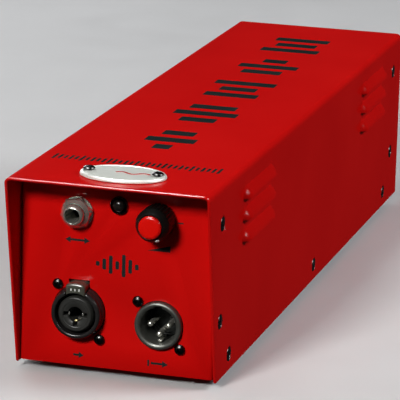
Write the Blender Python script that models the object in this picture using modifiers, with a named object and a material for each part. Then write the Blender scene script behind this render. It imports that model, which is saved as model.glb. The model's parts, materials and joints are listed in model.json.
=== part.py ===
"""Direct injection box: a valve instrument box in a folded sheet-metal case.

The box stands on its feet, with its origin on the floor under its middle.  The
front panel faces -Y, the top faces +Z and +X is to the right of the front.
"""
import math

import bmesh
import bpy
from mathutils import Euler, Matrix, Vector

# ---------------------------------------------------------------- driving dimensions (metres)
LENGTH = 0.3674
WIDTH = 0.0902
COVER_HEIGHT = 0.0863
COVER_SHEET = 0.0014
CHASSIS_SHEET = 0.0015
COVER_LIFT = 0.0030
CHASSIS_LIFT = 0.0042
FRONT_RECESS = 0.0180
REAR_RECESS = 0.0100
HOOD_SLANT = 0.0175
COVER_BEND = 0.0030
CHASSIS_BEND = 0.0020
GAP = 0.0003
CHASSIS_HEADROOM = 0.0008
NOTCH_RELIEF = 0.0040

# ---------------------------------------------------------------- places that follow from them
FRONT_Y = -LENGTH / 2
REAR_Y = LENGTH / 2
TOP_Z = COVER_LIFT + COVER_HEIGHT
PANEL_Y = FRONT_Y + FRONT_RECESS
PANEL_BACK_Y = PANEL_Y + CHASSIS_SHEET
REAR_PANEL_Y = REAR_Y - REAR_RECESS
REAR_PANEL_IN_Y = REAR_PANEL_Y - CHASSIS_SHEET
CHASSIS_X = WIDTH / 2 - COVER_SHEET - GAP
CHASSIS_TOP_Z = TOP_Z - COVER_SHEET - CHASSIS_HEADROOM
TRAY_FLOOR_Z = CHASSIS_LIFT + CHASSIS_SHEET
TRAY_WALL_Z = 0.0180
FLANGE_DEPTH = 0.0125
BOTTOM_FLANGE_HALF = 0.0340

# ---------------------------------------------------------------- fasteners
COVER_SCREW_HEAD_R = 0.0032
COVER_SCREW_DOME = 0.0003
COVER_SCREW_SHANK_R = 0.0014
COVER_SCREW_REACH = 0.0062
CONNECTOR_SCREW_HEAD_R = 0.0024
CONNECTOR_SCREW_HEAD_H = 0.0017
CONNECTOR_SCREW_SHANK_R = 0.0012
CONNECTOR_SCREW_REACH = 0.0070
CLEARANCE = 0.00035
COUNTERSINK_CLEARANCE = 0.0004
BADGE_SCREW_HEAD_R = 0.0026
BADGE_SCREW_HEAD_H = 0.0013
BADGE_SCREW_REACH = 0.0034
COLUMN_SCREW_Z = (0.0294, 0.0724)
ROW_SCREW_Z = 0.0106
COLUMN_SCREW_Y = {"front": FRONT_Y + 0.0215, "rear": FRONT_Y + 0.3493}
ROW_SCREW_Y = {"front": FRONT_Y + 0.0369, "middle": FRONT_Y + 0.1866, "rear": FRONT_Y + 0.3355}

# ---------------------------------------------------------------- louvres in the cover's sides
LOUVRE_LENGTH = 0.050
LOUVRE_HEIGHT = 0.0052
LOUVRE_PROUD = 0.0032
LOUVRE_SKIN = 0.0011
LOUVRE_Z = (0.0590, 0.0685, 0.0780)
LOUVRE_Y = (FRONT_Y + 0.078, FRONT_Y + 0.300)

# ---------------------------------------------------------------- front panel layout, (x, z)
JACK_AT = (-0.0179, 0.0724)
INDICATOR_AT = (0.0006, 0.0772)
LEVEL_AT = (0.0184, 0.0726)
COMBO_AT = (-0.0168, 0.0284)
XLR_AT = (0.0191, 0.0261)
COMBO_SCREW_OFFSET = (0.0095, 0.0115)
XLR_SCREW_OFFSET = (0.0095, 0.0097)

# ---------------------------------------------------------------- rear panel layout, (x, z)
INLET_AT = (0.0150, 0.0330)
SWITCH_AT = (-0.0210, 0.0330)
LIFT_AT = (-0.0210, 0.0640)

# ---------------------------------------------------------------- feet
FOOT_HEIGHT = CHASSIS_LIFT - GAP
FOOT_R = 0.0055
FOOT_X = 0.0320
FOOT_INSET_Y = 0.0360

# ---------------------------------------------------------------- badge on the top
BADGE_X = 0.0013
BADGE_Y = FRONT_Y + 0.0200
BADGE_HALF_X = 0.0189
BADGE_HALF_Y = 0.0130
BADGE_SHEET = 0.0015
BADGE_SCREW_X = 0.0152

# ---------------------------------------------------------------- thru jack
JACK_BORE_R = 0.0033
JACK_BUSHING_R = 0.0047
JACK_COLLAR_R = 0.0062
JACK_COLLAR_SHEET = 0.0015
JACK_PROUD = 0.0081
JACK_NUT_FLATS = 0.0127
JACK_NUT_H = 0.0024
JACK_BODY_HALF = (0.0080, 0.0090)
JACK_BODY_DEPTH = 0.0260

# ---------------------------------------------------------------- indicator
INDICATOR_BARREL_R = 0.0033
INDICATOR_RIM_R = 0.0039
LENS_R = 0.0028

# ---------------------------------------------------------------- level control
POT_BUSHING_R = 0.0035
POT_BUSHING_PROUD = 0.0048
POT_CAN_R = 0.0085
POT_CAN_DEPTH = 0.0090
POT_SOCKET_DEPTH = 0.0060
POT_NUT_FLATS = 0.0095
POT_NUT_H = 0.0020
SHAFT_R = 0.0030
SHAFT_PROUD = 0.0120
KNOB_R = 0.0075
KNOB_NOSE_R = 0.0058
KNOB_PROUD = 0.0145
KNOB_CAP_R = 0.0050
KNOB_STANDOFF = 0.0008
KNOB_HOLLOW_R = 0.0062
KNOB_FLUTES = 12
FLUTE_R = 0.0011
FLUTE_LENGTH = 0.0100

# ---------------------------------------------------------------- combination input connector
COMBO_R = 0.0117
COMBO_LIP_R = 0.0100
COMBO_SHOULDER_R = 0.0110
COMBO_SHOULDER_DROP = 0.0020
COMBO_BORE_R = 0.0090
COMBO_PROUD = 0.0056
COMBO_DEPTH = 0.0200
COMBO_BACK_WALL = 0.0020
COMBO_FLANGE_HALF = (0.0130, 0.0150)
COMBO_INSERT_R = 0.0080
COMBO_INSERT_PROUD = 0.0053
CONTACT_REACH = 0.0052
CONTACT_SLOT_HALF = 0.0010
LATCH_HALF_WIDTH = 0.0044
LATCH_UNDERSIDE_R = 0.0093
LATCH_SHOULDER = 0.0124
LATCH_CROWN = 0.0138
LATCH_PROUD = 0.0060
LATCH_DEPTH = 0.0080

# ---------------------------------------------------------------- output connector
XLR_R = 0.0105
XLR_PROUD = 0.0024
XLR_BORE_R = 0.0080
XLR_DEPTH = 0.0170
XLR_FLANGE_HALF = (0.0130, 0.0130)
XLR_PIN_R = 0.0012
XLR_PIN_CIRCLE_R = 0.0041
XLR_PIN_PROUD = 0.0002
XLR_FLOOR = 0.0050

# ---------------------------------------------------------------- connector flanges
FLANGE_CORNER = 0.0025
FLANGE_SHEET = 0.0020
FLANGE_BORE_MARGIN = 0.0010

# ---------------------------------------------------------------- rear panel fittings
REAR_RIM = 0.0018
INLET_HALF_X = 0.0135
INLET_HALF_Z = 0.0190
INLET_DEPTH = 0.0200
FUSE_HALF_X = 0.0115
FUSE_HALF_Z = 0.0045
FUSE_WALL = 0.0015
FUSE_RISE = 0.0105
FUSE_DEPTH = 0.0165
BLADE_RISE = -0.0075
BLADE_HALF_X, BLADE_HALF_Z = 0.0010, 0.0020
CAVITY_HALF_X = 0.0118
CAVITY_Z = (-0.0160, 0.0010)
CAVITY_DEPTH = 0.0155
SWITCH_HALF_X = 0.0095
SWITCH_HALF_Z = 0.0105
SWITCH_DEPTH = 0.0160
LIFT_BUSHING_R = 0.0030
LIFT_BORE_R = 0.0020
ROCKER_HALF_X = 0.0060
ROCKER_HALF_Z = 0.0078
ROCKER_AXIS_Y = REAR_PANEL_Y - 0.0030
ROCKER_REST = math.radians(11)
LIFT_REST = math.radians(10)

# ---------------------------------------------------------------- inside the case
BOARD_Z = 0.0105
BOARD_SHEET = 0.0016
BOARD_HALF_X = 0.0370
BOARD_Y = (-0.1200, 0.0650)
STANDOFF_R = 0.0030
STANDOFF_X = 0.0320
STANDOFF_Y = (-0.1150, 0.0600)
BOARD_TOP_Z = BOARD_Z + BOARD_SHEET
VALVE_AT = (-0.0120, -0.0850)
CAPACITOR_AT = (0.0180, -0.0600)
OUTPUT_TRANSFORMER_AT = (-0.0080, 0.0050)
POWER_TRANSFORMER_Y = 0.1130
POWER_CORE = (0.0250, 0.0110, 0.0420)
POWER_WINDOW_HALF = 0.0170
POWER_WINDOW_Z = (0.0080, 0.0340)
WINDING_HALF_Y = 0.0190
OUTPUT_CORE = (0.0160, 0.0180, 0.0300)
SOCKET_R, SOCKET_H = 0.0110, 0.0080
VALVE_R = 0.0100
CAPACITOR_R, CAPACITOR_H = 0.0080, 0.0300

# ---------------------------------------------------------------- facets, and ways a part can face
ROUND = 24
SMALL_ROUND = 12

FACING = {
    "up": (0.0, 0.0, 0.0),
    "front": (math.pi / 2, 0.0, 0.0),
    "rear": (-math.pi / 2, 0.0, 0.0),
    "right": (0.0, math.pi / 2, 0.0),
    "left": (0.0, -math.pi / 2, 0.0),
}


# ---------------------------------------------------------------- scene and materials
def clear_scene():
    for obj in list(bpy.data.objects):
        bpy.data.objects.remove(obj, do_unlink=True)


def new_collection(name):
    collection = bpy.data.collections.new(name)
    bpy.context.scene.collection.children.link(collection)
    return collection


def new_material(name, colour, roughness, metallic=0.0):
    material = bpy.data.materials.new(name)
    material.use_nodes = True
    shader = material.node_tree.nodes["Principled BSDF"]
    shader.inputs["Base Color"].default_value = (*colour, 1.0)
    shader.inputs["Roughness"].default_value = roughness
    shader.inputs["Metallic"].default_value = metallic
    material.diffuse_color = (*colour, 1.0)
    return material


FINISHES = {
    "red_paint": ((0.45, 0.008, 0.008), 0.35, 0.0),
    "zinc_plate": ((0.60, 0.60, 0.58), 0.35, 1.0),
    "black_oxide": ((0.03, 0.03, 0.03), 0.40, 0.8),
    "gunmetal": ((0.10, 0.10, 0.11), 0.35, 0.9),
    "chrome": ((0.80, 0.80, 0.82), 0.10, 1.0),
    "silver_plate": ((0.72, 0.73, 0.74), 0.25, 1.0),
    "black_plastic": ((0.02, 0.02, 0.02), 0.45, 0.0),
    "black_rubber": ((0.02, 0.02, 0.02), 0.80, 0.0),
    "red_plastic": ((0.60, 0.01, 0.01), 0.30, 0.0),
    "grey_plastic": ((0.22, 0.23, 0.23), 0.45, 0.0),
    "dark_lens": ((0.02, 0.01, 0.01), 0.08, 0.0),
    "brass": ((0.62, 0.47, 0.22), 0.30, 1.0),
    "board_green": ((0.02, 0.14, 0.06), 0.45, 0.0),
    "valve_glass": ((0.60, 0.62, 0.62), 0.05, 0.0),
    "ceramic": ((0.80, 0.79, 0.74), 0.50, 0.0),
    "core_steel": ((0.14, 0.14, 0.15), 0.50, 0.9),
    "winding_tape": ((0.62, 0.42, 0.08), 0.45, 0.0),
    "capacitor_blue": ((0.03, 0.06, 0.22), 0.35, 0.0),
}


# ---------------------------------------------------------------- making objects
def add_object(name, mesh, finish, location=(0, 0, 0), facing="up"):
    """Put a mesh in the scene as a named part, or as a cutter when finish is None."""
    obj = bpy.data.objects.new(name, mesh)
    obj.location = location
    obj.rotation_euler = FACING[facing]
    if finish is None:
        CUTTERS.objects.link(obj)
        obj.hide_render = True
        obj.display_type = "WIRE"
    else:
        PARTS.objects.link(obj)
        mesh.materials.append(MATERIALS[finish])
    return obj


def mesh_from(bm, name, smooth=False):
    mesh = bpy.data.meshes.new(name)
    bmesh.ops.recalc_face_normals(bm, faces=bm.faces)
    bm.to_mesh(mesh)
    bm.free()
    if smooth:
        mesh.shade_smooth()
        mesh.set_sharp_from_angle(angle=math.radians(35))
    return mesh


def box(name, low, high, finish, bevel=0.0):
    """A rectangular block between two corners, its edges bevelled if asked."""
    low, high = Vector(low), Vector(high)
    bm = bmesh.new()
    bmesh.ops.create_cube(bm, size=1.0, matrix=Matrix.Diagonal((*(high - low), 1.0)))
    obj = add_object(name, mesh_from(bm, name), finish, (low + high) / 2)
    if bevel:
        add_bevel(obj, bevel)
    return obj


def add_bevel(obj, width, segments=2):
    modifier = obj.modifiers.new("edges", "BEVEL")
    modifier.width = width
    modifier.segments = segments
    modifier.limit_method = "ANGLE"
    modifier.angle_limit = math.radians(40)


def rods(name, places, radius, length, facing, finish=None, segments=SMALL_ROUND):
    """One mesh of equal round rods, each centred on a place, along the facing axis."""
    turn = facing_matrix(facing)
    bm = bmesh.new()
    for place in places:
        bmesh.ops.create_cone(
            bm, cap_ends=True, segments=segments, radius1=radius, radius2=radius,
            depth=length, matrix=Matrix.Translation(place) @ turn)
    return add_object(name, mesh_from(bm, name, smooth=True), finish)


def turned(name, profile, location, facing, finish, steps=ROUND):
    """A turned part: a profile of (radius, height) points, outer side first from the top."""
    bm = bmesh.new()
    verts = [bm.verts.new((radius, 0.0, height)) for radius, height in profile]
    for first, second in zip(verts, verts[1:]):
        bm.edges.new((first, second))
    closed = profile[0][0] > 0 and profile[-1][0] > 0
    if closed:
        bm.edges.new((verts[-1], verts[0]))
    mesh = bpy.data.meshes.new(name)
    bm.to_mesh(mesh)
    bm.free()
    obj = add_object(name, mesh, finish, location, facing)
    screw = obj.modifiers.new("turning", "SCREW")
    screw.steps = steps
    screw.render_steps = steps
    screw.use_merge_vertices = True
    screw.merge_threshold = 0.00001
    screw.use_smooth_shade = True
    return obj


def plate(name, outline, thickness, location, facing, finish):
    """A flat plate of a closed outline, centred on its thickness."""
    curve = bpy.data.curves.new(name, "CURVE")
    curve.dimensions = "2D"
    curve.fill_mode = "BOTH"
    curve.extrude = thickness / 2
    spline = curve.splines.new("POLY")
    spline.points.add(len(outline) - 1)
    for point, (x, y) in zip(spline.points, outline):
        point.co = (x, y, 0.0, 1.0)
    spline.use_cyclic_u = True
    guide = bpy.data.objects.new(name + "_curve", curve)
    CUTTERS.objects.link(guide)
    graph = bpy.context.evaluated_depsgraph_get()
    mesh = bpy.data.meshes.new_from_object(guide.evaluated_get(graph))
    bpy.data.objects.remove(guide, do_unlink=True)
    bm = bmesh.new()
    bm.from_mesh(mesh)
    bmesh.ops.remove_doubles(bm, verts=bm.verts, dist=0.00001)
    bpy.data.meshes.remove(mesh)
    return add_object(name, mesh_from(bm, name), finish, location, facing)


def folded_sheet(name, path, place_start, place_end, thickness, finish):
    """Sheet metal folded along a path and run from one end to the other."""
    bm = bmesh.new()
    starts = [bm.verts.new(place_start(point)) for point in path]
    ends = [bm.verts.new(place_end(point)) for point in path]
    for i in range(len(path) - 1):
        bm.faces.new((starts[i], starts[i + 1], ends[i + 1], ends[i]))
    mesh = bpy.data.meshes.new(name)
    bm.to_mesh(mesh)
    bm.free()
    obj = add_object(name, mesh, finish)
    skin = obj.modifiers.new("sheet", "SOLIDIFY")
    skin.thickness = thickness
    skin.offset = -1.0
    skin.use_even_offset = True
    return obj


def combine(obj, other, operation):
    """Boolean another object into this one; the other is only a guide from here on."""
    modifier = obj.modifiers.new(other.name, "BOOLEAN")
    modifier.operation = operation
    modifier.solver = "EXACT"
    modifier.object = other


def cut(obj, cutter):
    combine(obj, cutter, "DIFFERENCE")


def join(obj, other):
    combine(obj, other, "UNION")


def facing_matrix(facing):
    return Euler(FACING[facing]).to_matrix().to_4x4()


# ---------------------------------------------------------------- outlines
def rounded_path(corners, radius, steps):
    """A path through right-angled corners, each one rounded."""
    path = [Vector(corners[0])]
    for before, corner, after in zip(corners, corners[1:], corners[2:]):
        corner = Vector(corner)
        to_before = (Vector(before) - corner).normalized()
        to_after = (Vector(after) - corner).normalized()
        centre = corner + radius * (to_before + to_after)
        for i in range(steps + 1):
            angle = math.pi / 2 * i / steps
            path.append(centre - radius * (to_after * math.cos(angle) + to_before * math.sin(angle)))
    path.append(Vector(corners[-1]))
    return path


def rounded_rectangle(half_x, half_y, radius, steps=3):
    """A closed outline: four quarter-round corners, anticlockwise from the right."""
    outline = []
    for turn, (sign_x, sign_y) in enumerate(((1, 1), (-1, 1), (-1, -1), (1, -1))):
        centre_x = sign_x * (half_x - radius)
        centre_y = sign_y * (half_y - radius)
        for i in range(steps + 1):
            angle = math.pi / 2 * (turn + i / steps)
            outline.append((centre_x + radius * math.cos(angle), centre_y + radius * math.sin(angle)))
    return outline


def ellipse(half_x, half_y, steps):
    angles = [2 * math.pi * i / steps for i in range(steps)]
    return [(half_x * math.cos(a), half_y * math.sin(a)) for a in angles]


def polygon(across_flats, sides=6, turn=0.0):
    radius = across_flats / 2 / math.cos(math.pi / sides)
    angles = [turn + 2 * math.pi * i / sides for i in range(sides)]
    return [(radius * math.cos(a), radius * math.sin(a)) for a in angles]


# ---------------------------------------------------------------- the case
def louvre_solid(name, proud, top, lip, embed):
    """All louvre hoods of both sides as one mesh, or the hollows inside them."""
    stations = [(-1.0, 0.06, 0.45), (-0.93, 0.62, 0.80), (-0.80, 1.0, 1.0),
                (0.80, 1.0, 1.0), (0.93, 0.62, 0.80), (1.0, 0.06, 0.45)]
    bm = bmesh.new()
    for side in (-1, 1):
        for centre_y in LOUVRE_Y:
            for centre_z in LOUVRE_Z:
                rings = []
                for along, out, tall in stations:
                    section = [(-embed, lip), (proud * out, lip)]
                    for rise in (0.55, 1.0):
                        reach = proud * out * math.cos(rise * math.pi / 2)
                        section.append((reach, lip + (top - lip) * tall * rise))
                    section.append((-embed, lip + (top - lip) * tall))
                    shrink = 1.0 - (LOUVRE_PROUD - proud) / (LOUVRE_LENGTH / 2)
                    y = centre_y + along * shrink * LOUVRE_LENGTH / 2
                    rings.append([bm.verts.new((side * (WIDTH / 2 + x), y, centre_z + z))
                                  for x, z in section])
                for ring, following in zip(rings, rings[1:]):
                    for i in range(len(ring)):
                        j = (i + 1) % len(ring)
                        bm.faces.new((ring[i], ring[j], following[j], following[i]))
                bm.faces.new(rings[0])
                bm.faces.new(rings[-1])
    return add_object(name, mesh_from(bm, name), None)


def side_screw_places():
    """(name, y, z) of the screws in each side of the cover."""
    places = []
    for column, y in COLUMN_SCREW_Y.items():
        places.append((column + "_lower", y, COLUMN_SCREW_Z[0]))
        places.append((column + "_upper", y, COLUMN_SCREW_Z[1]))
    for row, y in ROW_SCREW_Y.items():
        places.append(("bottom_" + row, y, ROW_SCREW_Z))
    return places


def side_countersinks(name):
    """Cones that widen the cover's screw holes to the size of the screw heads."""
    inner_r = COVER_SCREW_SHANK_R + CLEARANCE
    outer_r = COVER_SCREW_HEAD_R + COUNTERSINK_CLEARANCE
    bm = bmesh.new()
    for side, sign in (("left", -1), ("right", 1)):
        for _, y, z in side_screw_places():
            middle_x = sign * (WIDTH / 2 - (outer_r - inner_r) / 2)
            bmesh.ops.create_cone(
                bm, cap_ends=True, segments=16, radius1=inner_r, radius2=outer_r,
                depth=outer_r - inner_r, matrix=Matrix.Translation((middle_x, y, z)) @ facing_matrix(side))
    return add_object(name, mesh_from(bm, name), None)


def side_hole_cutter(name):
    """Rods right across the case, one through each pair of cover screw holes."""
    places = [(0.0, y, z) for _, y, z in side_screw_places()]
    return rods(name, places, COVER_SCREW_SHANK_R + CLEARANCE, WIDTH * 1.2, "right")


def build_cover():
    """The top and both sides in one sheet, with a hooded front edge, louvres and holes."""
    half = WIDTH / 2
    corners = [(-half, COVER_LIFT), (-half, TOP_Z), (half, TOP_Z), (half, COVER_LIFT)]
    path = rounded_path(corners, COVER_BEND, 5)

    def at_front(point):
        slant = HOOD_SLANT * (TOP_Z - point.y) / COVER_HEIGHT
        return (point.x, FRONT_Y + slant, point.y)

    def at_rear(point):
        return (point.x, REAR_Y, point.y)

    cover = folded_sheet("cover_shell", path, at_front, at_rear, COVER_SHEET, "red_paint")
    half_height = LOUVRE_HEIGHT / 2
    hoods = louvre_solid("louvre_hoods", LOUVRE_PROUD, half_height, -half_height, COVER_SHEET / 2)
    hollows = louvre_solid("louvre_hollows", LOUVRE_PROUD - LOUVRE_SKIN, half_height - LOUVRE_SKIN,
                           -half_height - LOUVRE_SKIN / 2, COVER_SHEET * 1.5)
    join(cover, hoods)
    cut(cover, hollows)
    cut(cover, side_hole_cutter("cover_screw_holes"))
    cut(cover, side_countersinks("cover_countersinks"))
    badge_holes = [(x, BADGE_Y, TOP_Z) for x in (BADGE_X - BADGE_SCREW_X, BADGE_X + BADGE_SCREW_X)]
    cut(cover, rods("badge_screw_holes", badge_holes, CONNECTOR_SCREW_SHANK_R + CLEARANCE, 0.010, "up"))


def build_tray():
    """The bottom of the chassis: a shallow channel with four pressed-in standoffs."""
    path = rounded_path([(CHASSIS_X, TRAY_WALL_Z), (CHASSIS_X, CHASSIS_LIFT),
                         (-CHASSIS_X, CHASSIS_LIFT), (-CHASSIS_X, TRAY_WALL_Z)], CHASSIS_BEND, 3)
    front, rear = PANEL_BACK_Y + GAP, REAR_PANEL_IN_Y - GAP
    tray = folded_sheet("base_tray", path, lambda p: (p.x, front, p.y), lambda p: (p.x, rear, p.y),
                        CHASSIS_SHEET, "red_paint")
    low, high = TRAY_FLOOR_Z - CHASSIS_SHEET / 2, BOARD_Z - GAP
    places = [(x, y, (low + high) / 2) for x in (-STANDOFF_X, STANDOFF_X) for y in STANDOFF_Y]
    join(tray, rods("standoffs", places, STANDOFF_R, high - low, "up"))
    cut(tray, side_hole_cutter("tray_screw_holes"))


def round_hole_cutters(name, holes, y):
    """Cutters for round holes in a panel; each hole is (x, z, radius)."""
    bm = bmesh.new()
    turn = facing_matrix("front")
    for x, z, radius in holes:
        segments = ROUND if radius > 0.003 else SMALL_ROUND
        bmesh.ops.create_cone(bm, cap_ends=True, segments=segments, radius1=radius, radius2=radius,
                              depth=0.010, matrix=Matrix.Translation((x, y, z)) @ turn)
    return add_object(name, mesh_from(bm, name), None)


def end_panel(name, face_y, inward, finish):
    """A panel with a flange on each side and one along the bottom, on the tray."""
    inner_y = face_y + inward * FLANGE_DEPTH
    corners = [(-CHASSIS_X, inner_y), (-CHASSIS_X, face_y), (CHASSIS_X, face_y), (CHASSIS_X, inner_y)]
    path = rounded_path(corners, CHASSIS_BEND, 3)
    if inward < 0:
        path.reverse()
    panel = folded_sheet(name, path, lambda p: (p.x, p.y, CHASSIS_LIFT),
                         lambda p: (p.x, p.y, CHASSIS_TOP_Z), CHASSIS_SHEET, finish)
    back_y = face_y + inward * (CHASSIS_SHEET + GAP)
    notch_y = sorted((back_y - inward * GAP / 2, inner_y + inward * NOTCH_RELIEF))
    for side in (-1, 1):
        notch_x = sorted((side * (CHASSIS_X + 0.002), side * (CHASSIS_X - CHASSIS_BEND - GAP)))
        cut(panel, box(f"{name}_notch_{side}", (notch_x[0], notch_y[0], CHASSIS_LIFT - 0.002),
                       (notch_x[1], notch_y[1], TRAY_WALL_Z + GAP), None))
    flange_y = sorted((face_y + inward * CHASSIS_SHEET / 2, inner_y))
    flange_low = TRAY_FLOOR_Z + GAP
    join(panel, box(f"{name}_bottom_flange", (-BOTTOM_FLANGE_HALF, flange_y[0], flange_low),
                    (BOTTOM_FLANGE_HALF, flange_y[1], flange_low + CHASSIS_SHEET), None))
    cut(panel, side_hole_cutter(f"{name}_screw_holes"))
    return panel


def build_front_panel():
    panel = end_panel("front_panel", PANEL_Y, 1, "red_paint")
    holes = [(*JACK_AT, JACK_BUSHING_R + GAP), (*INDICATOR_AT, INDICATOR_BARREL_R + GAP),
             (*LEVEL_AT, POT_BUSHING_R + GAP), (*COMBO_AT, COMBO_R + GAP), (*XLR_AT, XLR_R + GAP)]
    for _, x, z in connector_screw_places():
        holes.append((x, z, CONNECTOR_SCREW_SHANK_R + CLEARANCE))
    cut(panel, round_hole_cutters("front_panel_holes", holes, PANEL_Y))
    x, z = COMBO_AT
    half = LATCH_HALF_WIDTH + GAP
    cut(panel, box("latch_window", (x - half, PANEL_Y - 0.003, z + 0.004),
                   (x + half, PANEL_Y + 0.004, z + LATCH_CROWN + GAP), None))


def build_rear_panel():
    panel = end_panel("rear_panel", REAR_PANEL_Y, -1, "red_paint")
    for label, (x, z), half_x, half_z in (
            ("inlet", INLET_AT, INLET_HALF_X, INLET_HALF_Z),
            ("switch", SWITCH_AT, SWITCH_HALF_X, SWITCH_HALF_Z)):
        cut(panel, box(f"{label}_window", (x - half_x - GAP, REAR_PANEL_Y - 0.005, z - half_z - GAP),
                       (x + half_x + GAP, REAR_PANEL_Y + 0.005, z + half_z + GAP), None))
    cut(panel, round_hole_cutters("lift_hole", [(*LIFT_AT, LIFT_BUSHING_R + GAP)], REAR_PANEL_Y))


def build_feet():
    profile = [(0.0, FOOT_HEIGHT), (FOOT_R, FOOT_HEIGHT), (FOOT_R, 0.0006), (FOOT_R - 0.0006, 0.0),
               (0.0, 0.0)]
    for end, y in (("front", FRONT_Y + FOOT_INSET_Y), ("rear", REAR_Y - FOOT_INSET_Y)):
        for side, x in (("left", -FOOT_X), ("right", FOOT_X)):
            turned(f"foot_{end}_{side}", profile, (x, y, 0.0), "up", "black_rubber", 20)


# ---------------------------------------------------------------- screws
def pan_screw(name, head_r, head_h, shank_r, reach, location, facing, finish):
    """A domed screw; its local zero is the surface under its head."""
    profile = [(0.0, GAP + head_h), (head_r * 0.66, GAP + head_h * 0.90), (head_r, GAP + head_h * 0.35),
               (head_r, GAP), (shank_r, GAP), (shank_r, -reach), (0.0, -reach)]
    return turned(name, profile, location, facing, finish, SMALL_ROUND)


def build_cover_screws():
    """Countersunk screws with slightly raised heads, flush with the cover's sides."""
    neck = COVER_SCREW_SHANK_R - COVER_SCREW_HEAD_R
    profile = [(0.0, COVER_SCREW_DOME), (COVER_SCREW_HEAD_R * 0.6, COVER_SCREW_DOME * 0.7),
               (COVER_SCREW_HEAD_R, 0.0), (COVER_SCREW_SHANK_R, neck),
               (COVER_SCREW_SHANK_R, -COVER_SCREW_REACH), (0.0, -COVER_SCREW_REACH)]
    for side, sign in (("left", -1), ("right", 1)):
        for label, y, z in side_screw_places():
            turned(f"cover_screw_{side}_{label}", profile, (sign * WIDTH / 2, y, z), side,
                   "black_oxide", 16)


def connector_screw_places():
    """(name, x, z): each connector is held at its upper left and lower right."""
    places = []
    for label, (x, z), (dx, dz) in (("combo", COMBO_AT, COMBO_SCREW_OFFSET),
                                    ("xlr", XLR_AT, XLR_SCREW_OFFSET)):
        places.append((f"{label}_screw_upper", x - dx, z + dz))
        places.append((f"{label}_screw_lower", x + dx, z - dz))
    return places


def build_connector_screws():
    for name, x, z in connector_screw_places():
        pan_screw(name, CONNECTOR_SCREW_HEAD_R, CONNECTOR_SCREW_HEAD_H, CONNECTOR_SCREW_SHANK_R,
                  CONNECTOR_SCREW_REACH, (x, PANEL_Y, z), "front", "black_oxide")


# ---------------------------------------------------------------- badge on the top
def build_badge():
    middle_z = TOP_Z + GAP + BADGE_SHEET / 2
    badge = plate("badge_plate", ellipse(BADGE_HALF_X, BADGE_HALF_Y, 40), BADGE_SHEET,
                  (BADGE_X, BADGE_Y, middle_z), "up", "silver_plate")
    screw_x = (BADGE_X - BADGE_SCREW_X, BADGE_X + BADGE_SCREW_X)
    cut(badge, rods("badge_holes", [(x, BADGE_Y, middle_z) for x in screw_x],
                    CONNECTOR_SCREW_SHANK_R + CLEARANCE, 0.006, "up"))
    for side, x in zip(("left", "right"), screw_x):
        pan_screw(f"badge_screw_{side}", BADGE_SCREW_HEAD_R, BADGE_SCREW_HEAD_H,
                  CONNECTOR_SCREW_SHANK_R, BADGE_SCREW_REACH, (x, BADGE_Y, TOP_Z + GAP + BADGE_SHEET),
                  "up", "black_oxide")


# ---------------------------------------------------------------- thru jack
def front_at(place, proud=0.0):
    """A point on the front panel's face, or in front of it."""
    return (place[0], PANEL_Y - proud, place[1])


def build_thru_jack():
    """A bushing with its collar behind the panel, a nut in front and a moulded body."""
    collar_y = -CHASSIS_SHEET - GAP
    bushing = [(JACK_BORE_R, JACK_PROUD), (JACK_BUSHING_R - 0.0005, JACK_PROUD),
               (JACK_BUSHING_R, JACK_PROUD - 0.0005), (JACK_BUSHING_R, collar_y),
               (JACK_COLLAR_R, collar_y), (JACK_COLLAR_R, collar_y - JACK_COLLAR_SHEET),
               (JACK_BORE_R, collar_y - JACK_COLLAR_SHEET)]
    turned("thru_jack_bushing", bushing, front_at(JACK_AT), "front", "chrome")
    nut = plate("thru_jack_nut", polygon(JACK_NUT_FLATS, turn=math.radians(12)), JACK_NUT_H,
                front_at(JACK_AT, GAP + JACK_NUT_H / 2), "front", "chrome")
    cut(nut, rods("jack_nut_bore", [front_at(JACK_AT)], JACK_BUSHING_R + GAP, 0.012, "front",
                  segments=ROUND))
    x, z = JACK_AT
    half_x, half_z = JACK_BODY_HALF
    front = PANEL_BACK_Y + 2 * GAP + JACK_COLLAR_SHEET
    body = box("thru_jack_body", (x - half_x, front, z - half_z),
               (x + half_x, front + JACK_BODY_DEPTH, z + half_z), "black_plastic", 0.0005)
    cut(body, rods("jack_body_bore", [(x, front, z)], JACK_BORE_R, 2 * (JACK_BODY_DEPTH - 0.003),
                   "front", segments=ROUND))


# ---------------------------------------------------------------- indicator
def build_indicator():
    rim = [(LENS_R + GAP, 0.0018), (INDICATOR_RIM_R - 0.0006, 0.0018), (INDICATOR_RIM_R, 0.0011),
           (INDICATOR_RIM_R, GAP), (INDICATOR_BARREL_R, GAP), (INDICATOR_BARREL_R, -0.0080),
           (LENS_R + GAP, -0.0080)]
    turned("indicator_bezel", rim, front_at(INDICATOR_AT), "front", "black_oxide", 24)
    lens = [(0.0, 0.0030), (LENS_R * 0.5, 0.0028), (LENS_R * 0.87, 0.0022), (LENS_R, 0.0014),
            (LENS_R, -0.0060), (0.0, -0.0060)]
    turned("indicator_lens", lens, front_at(INDICATOR_AT), "front", "dark_lens", 24)


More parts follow.
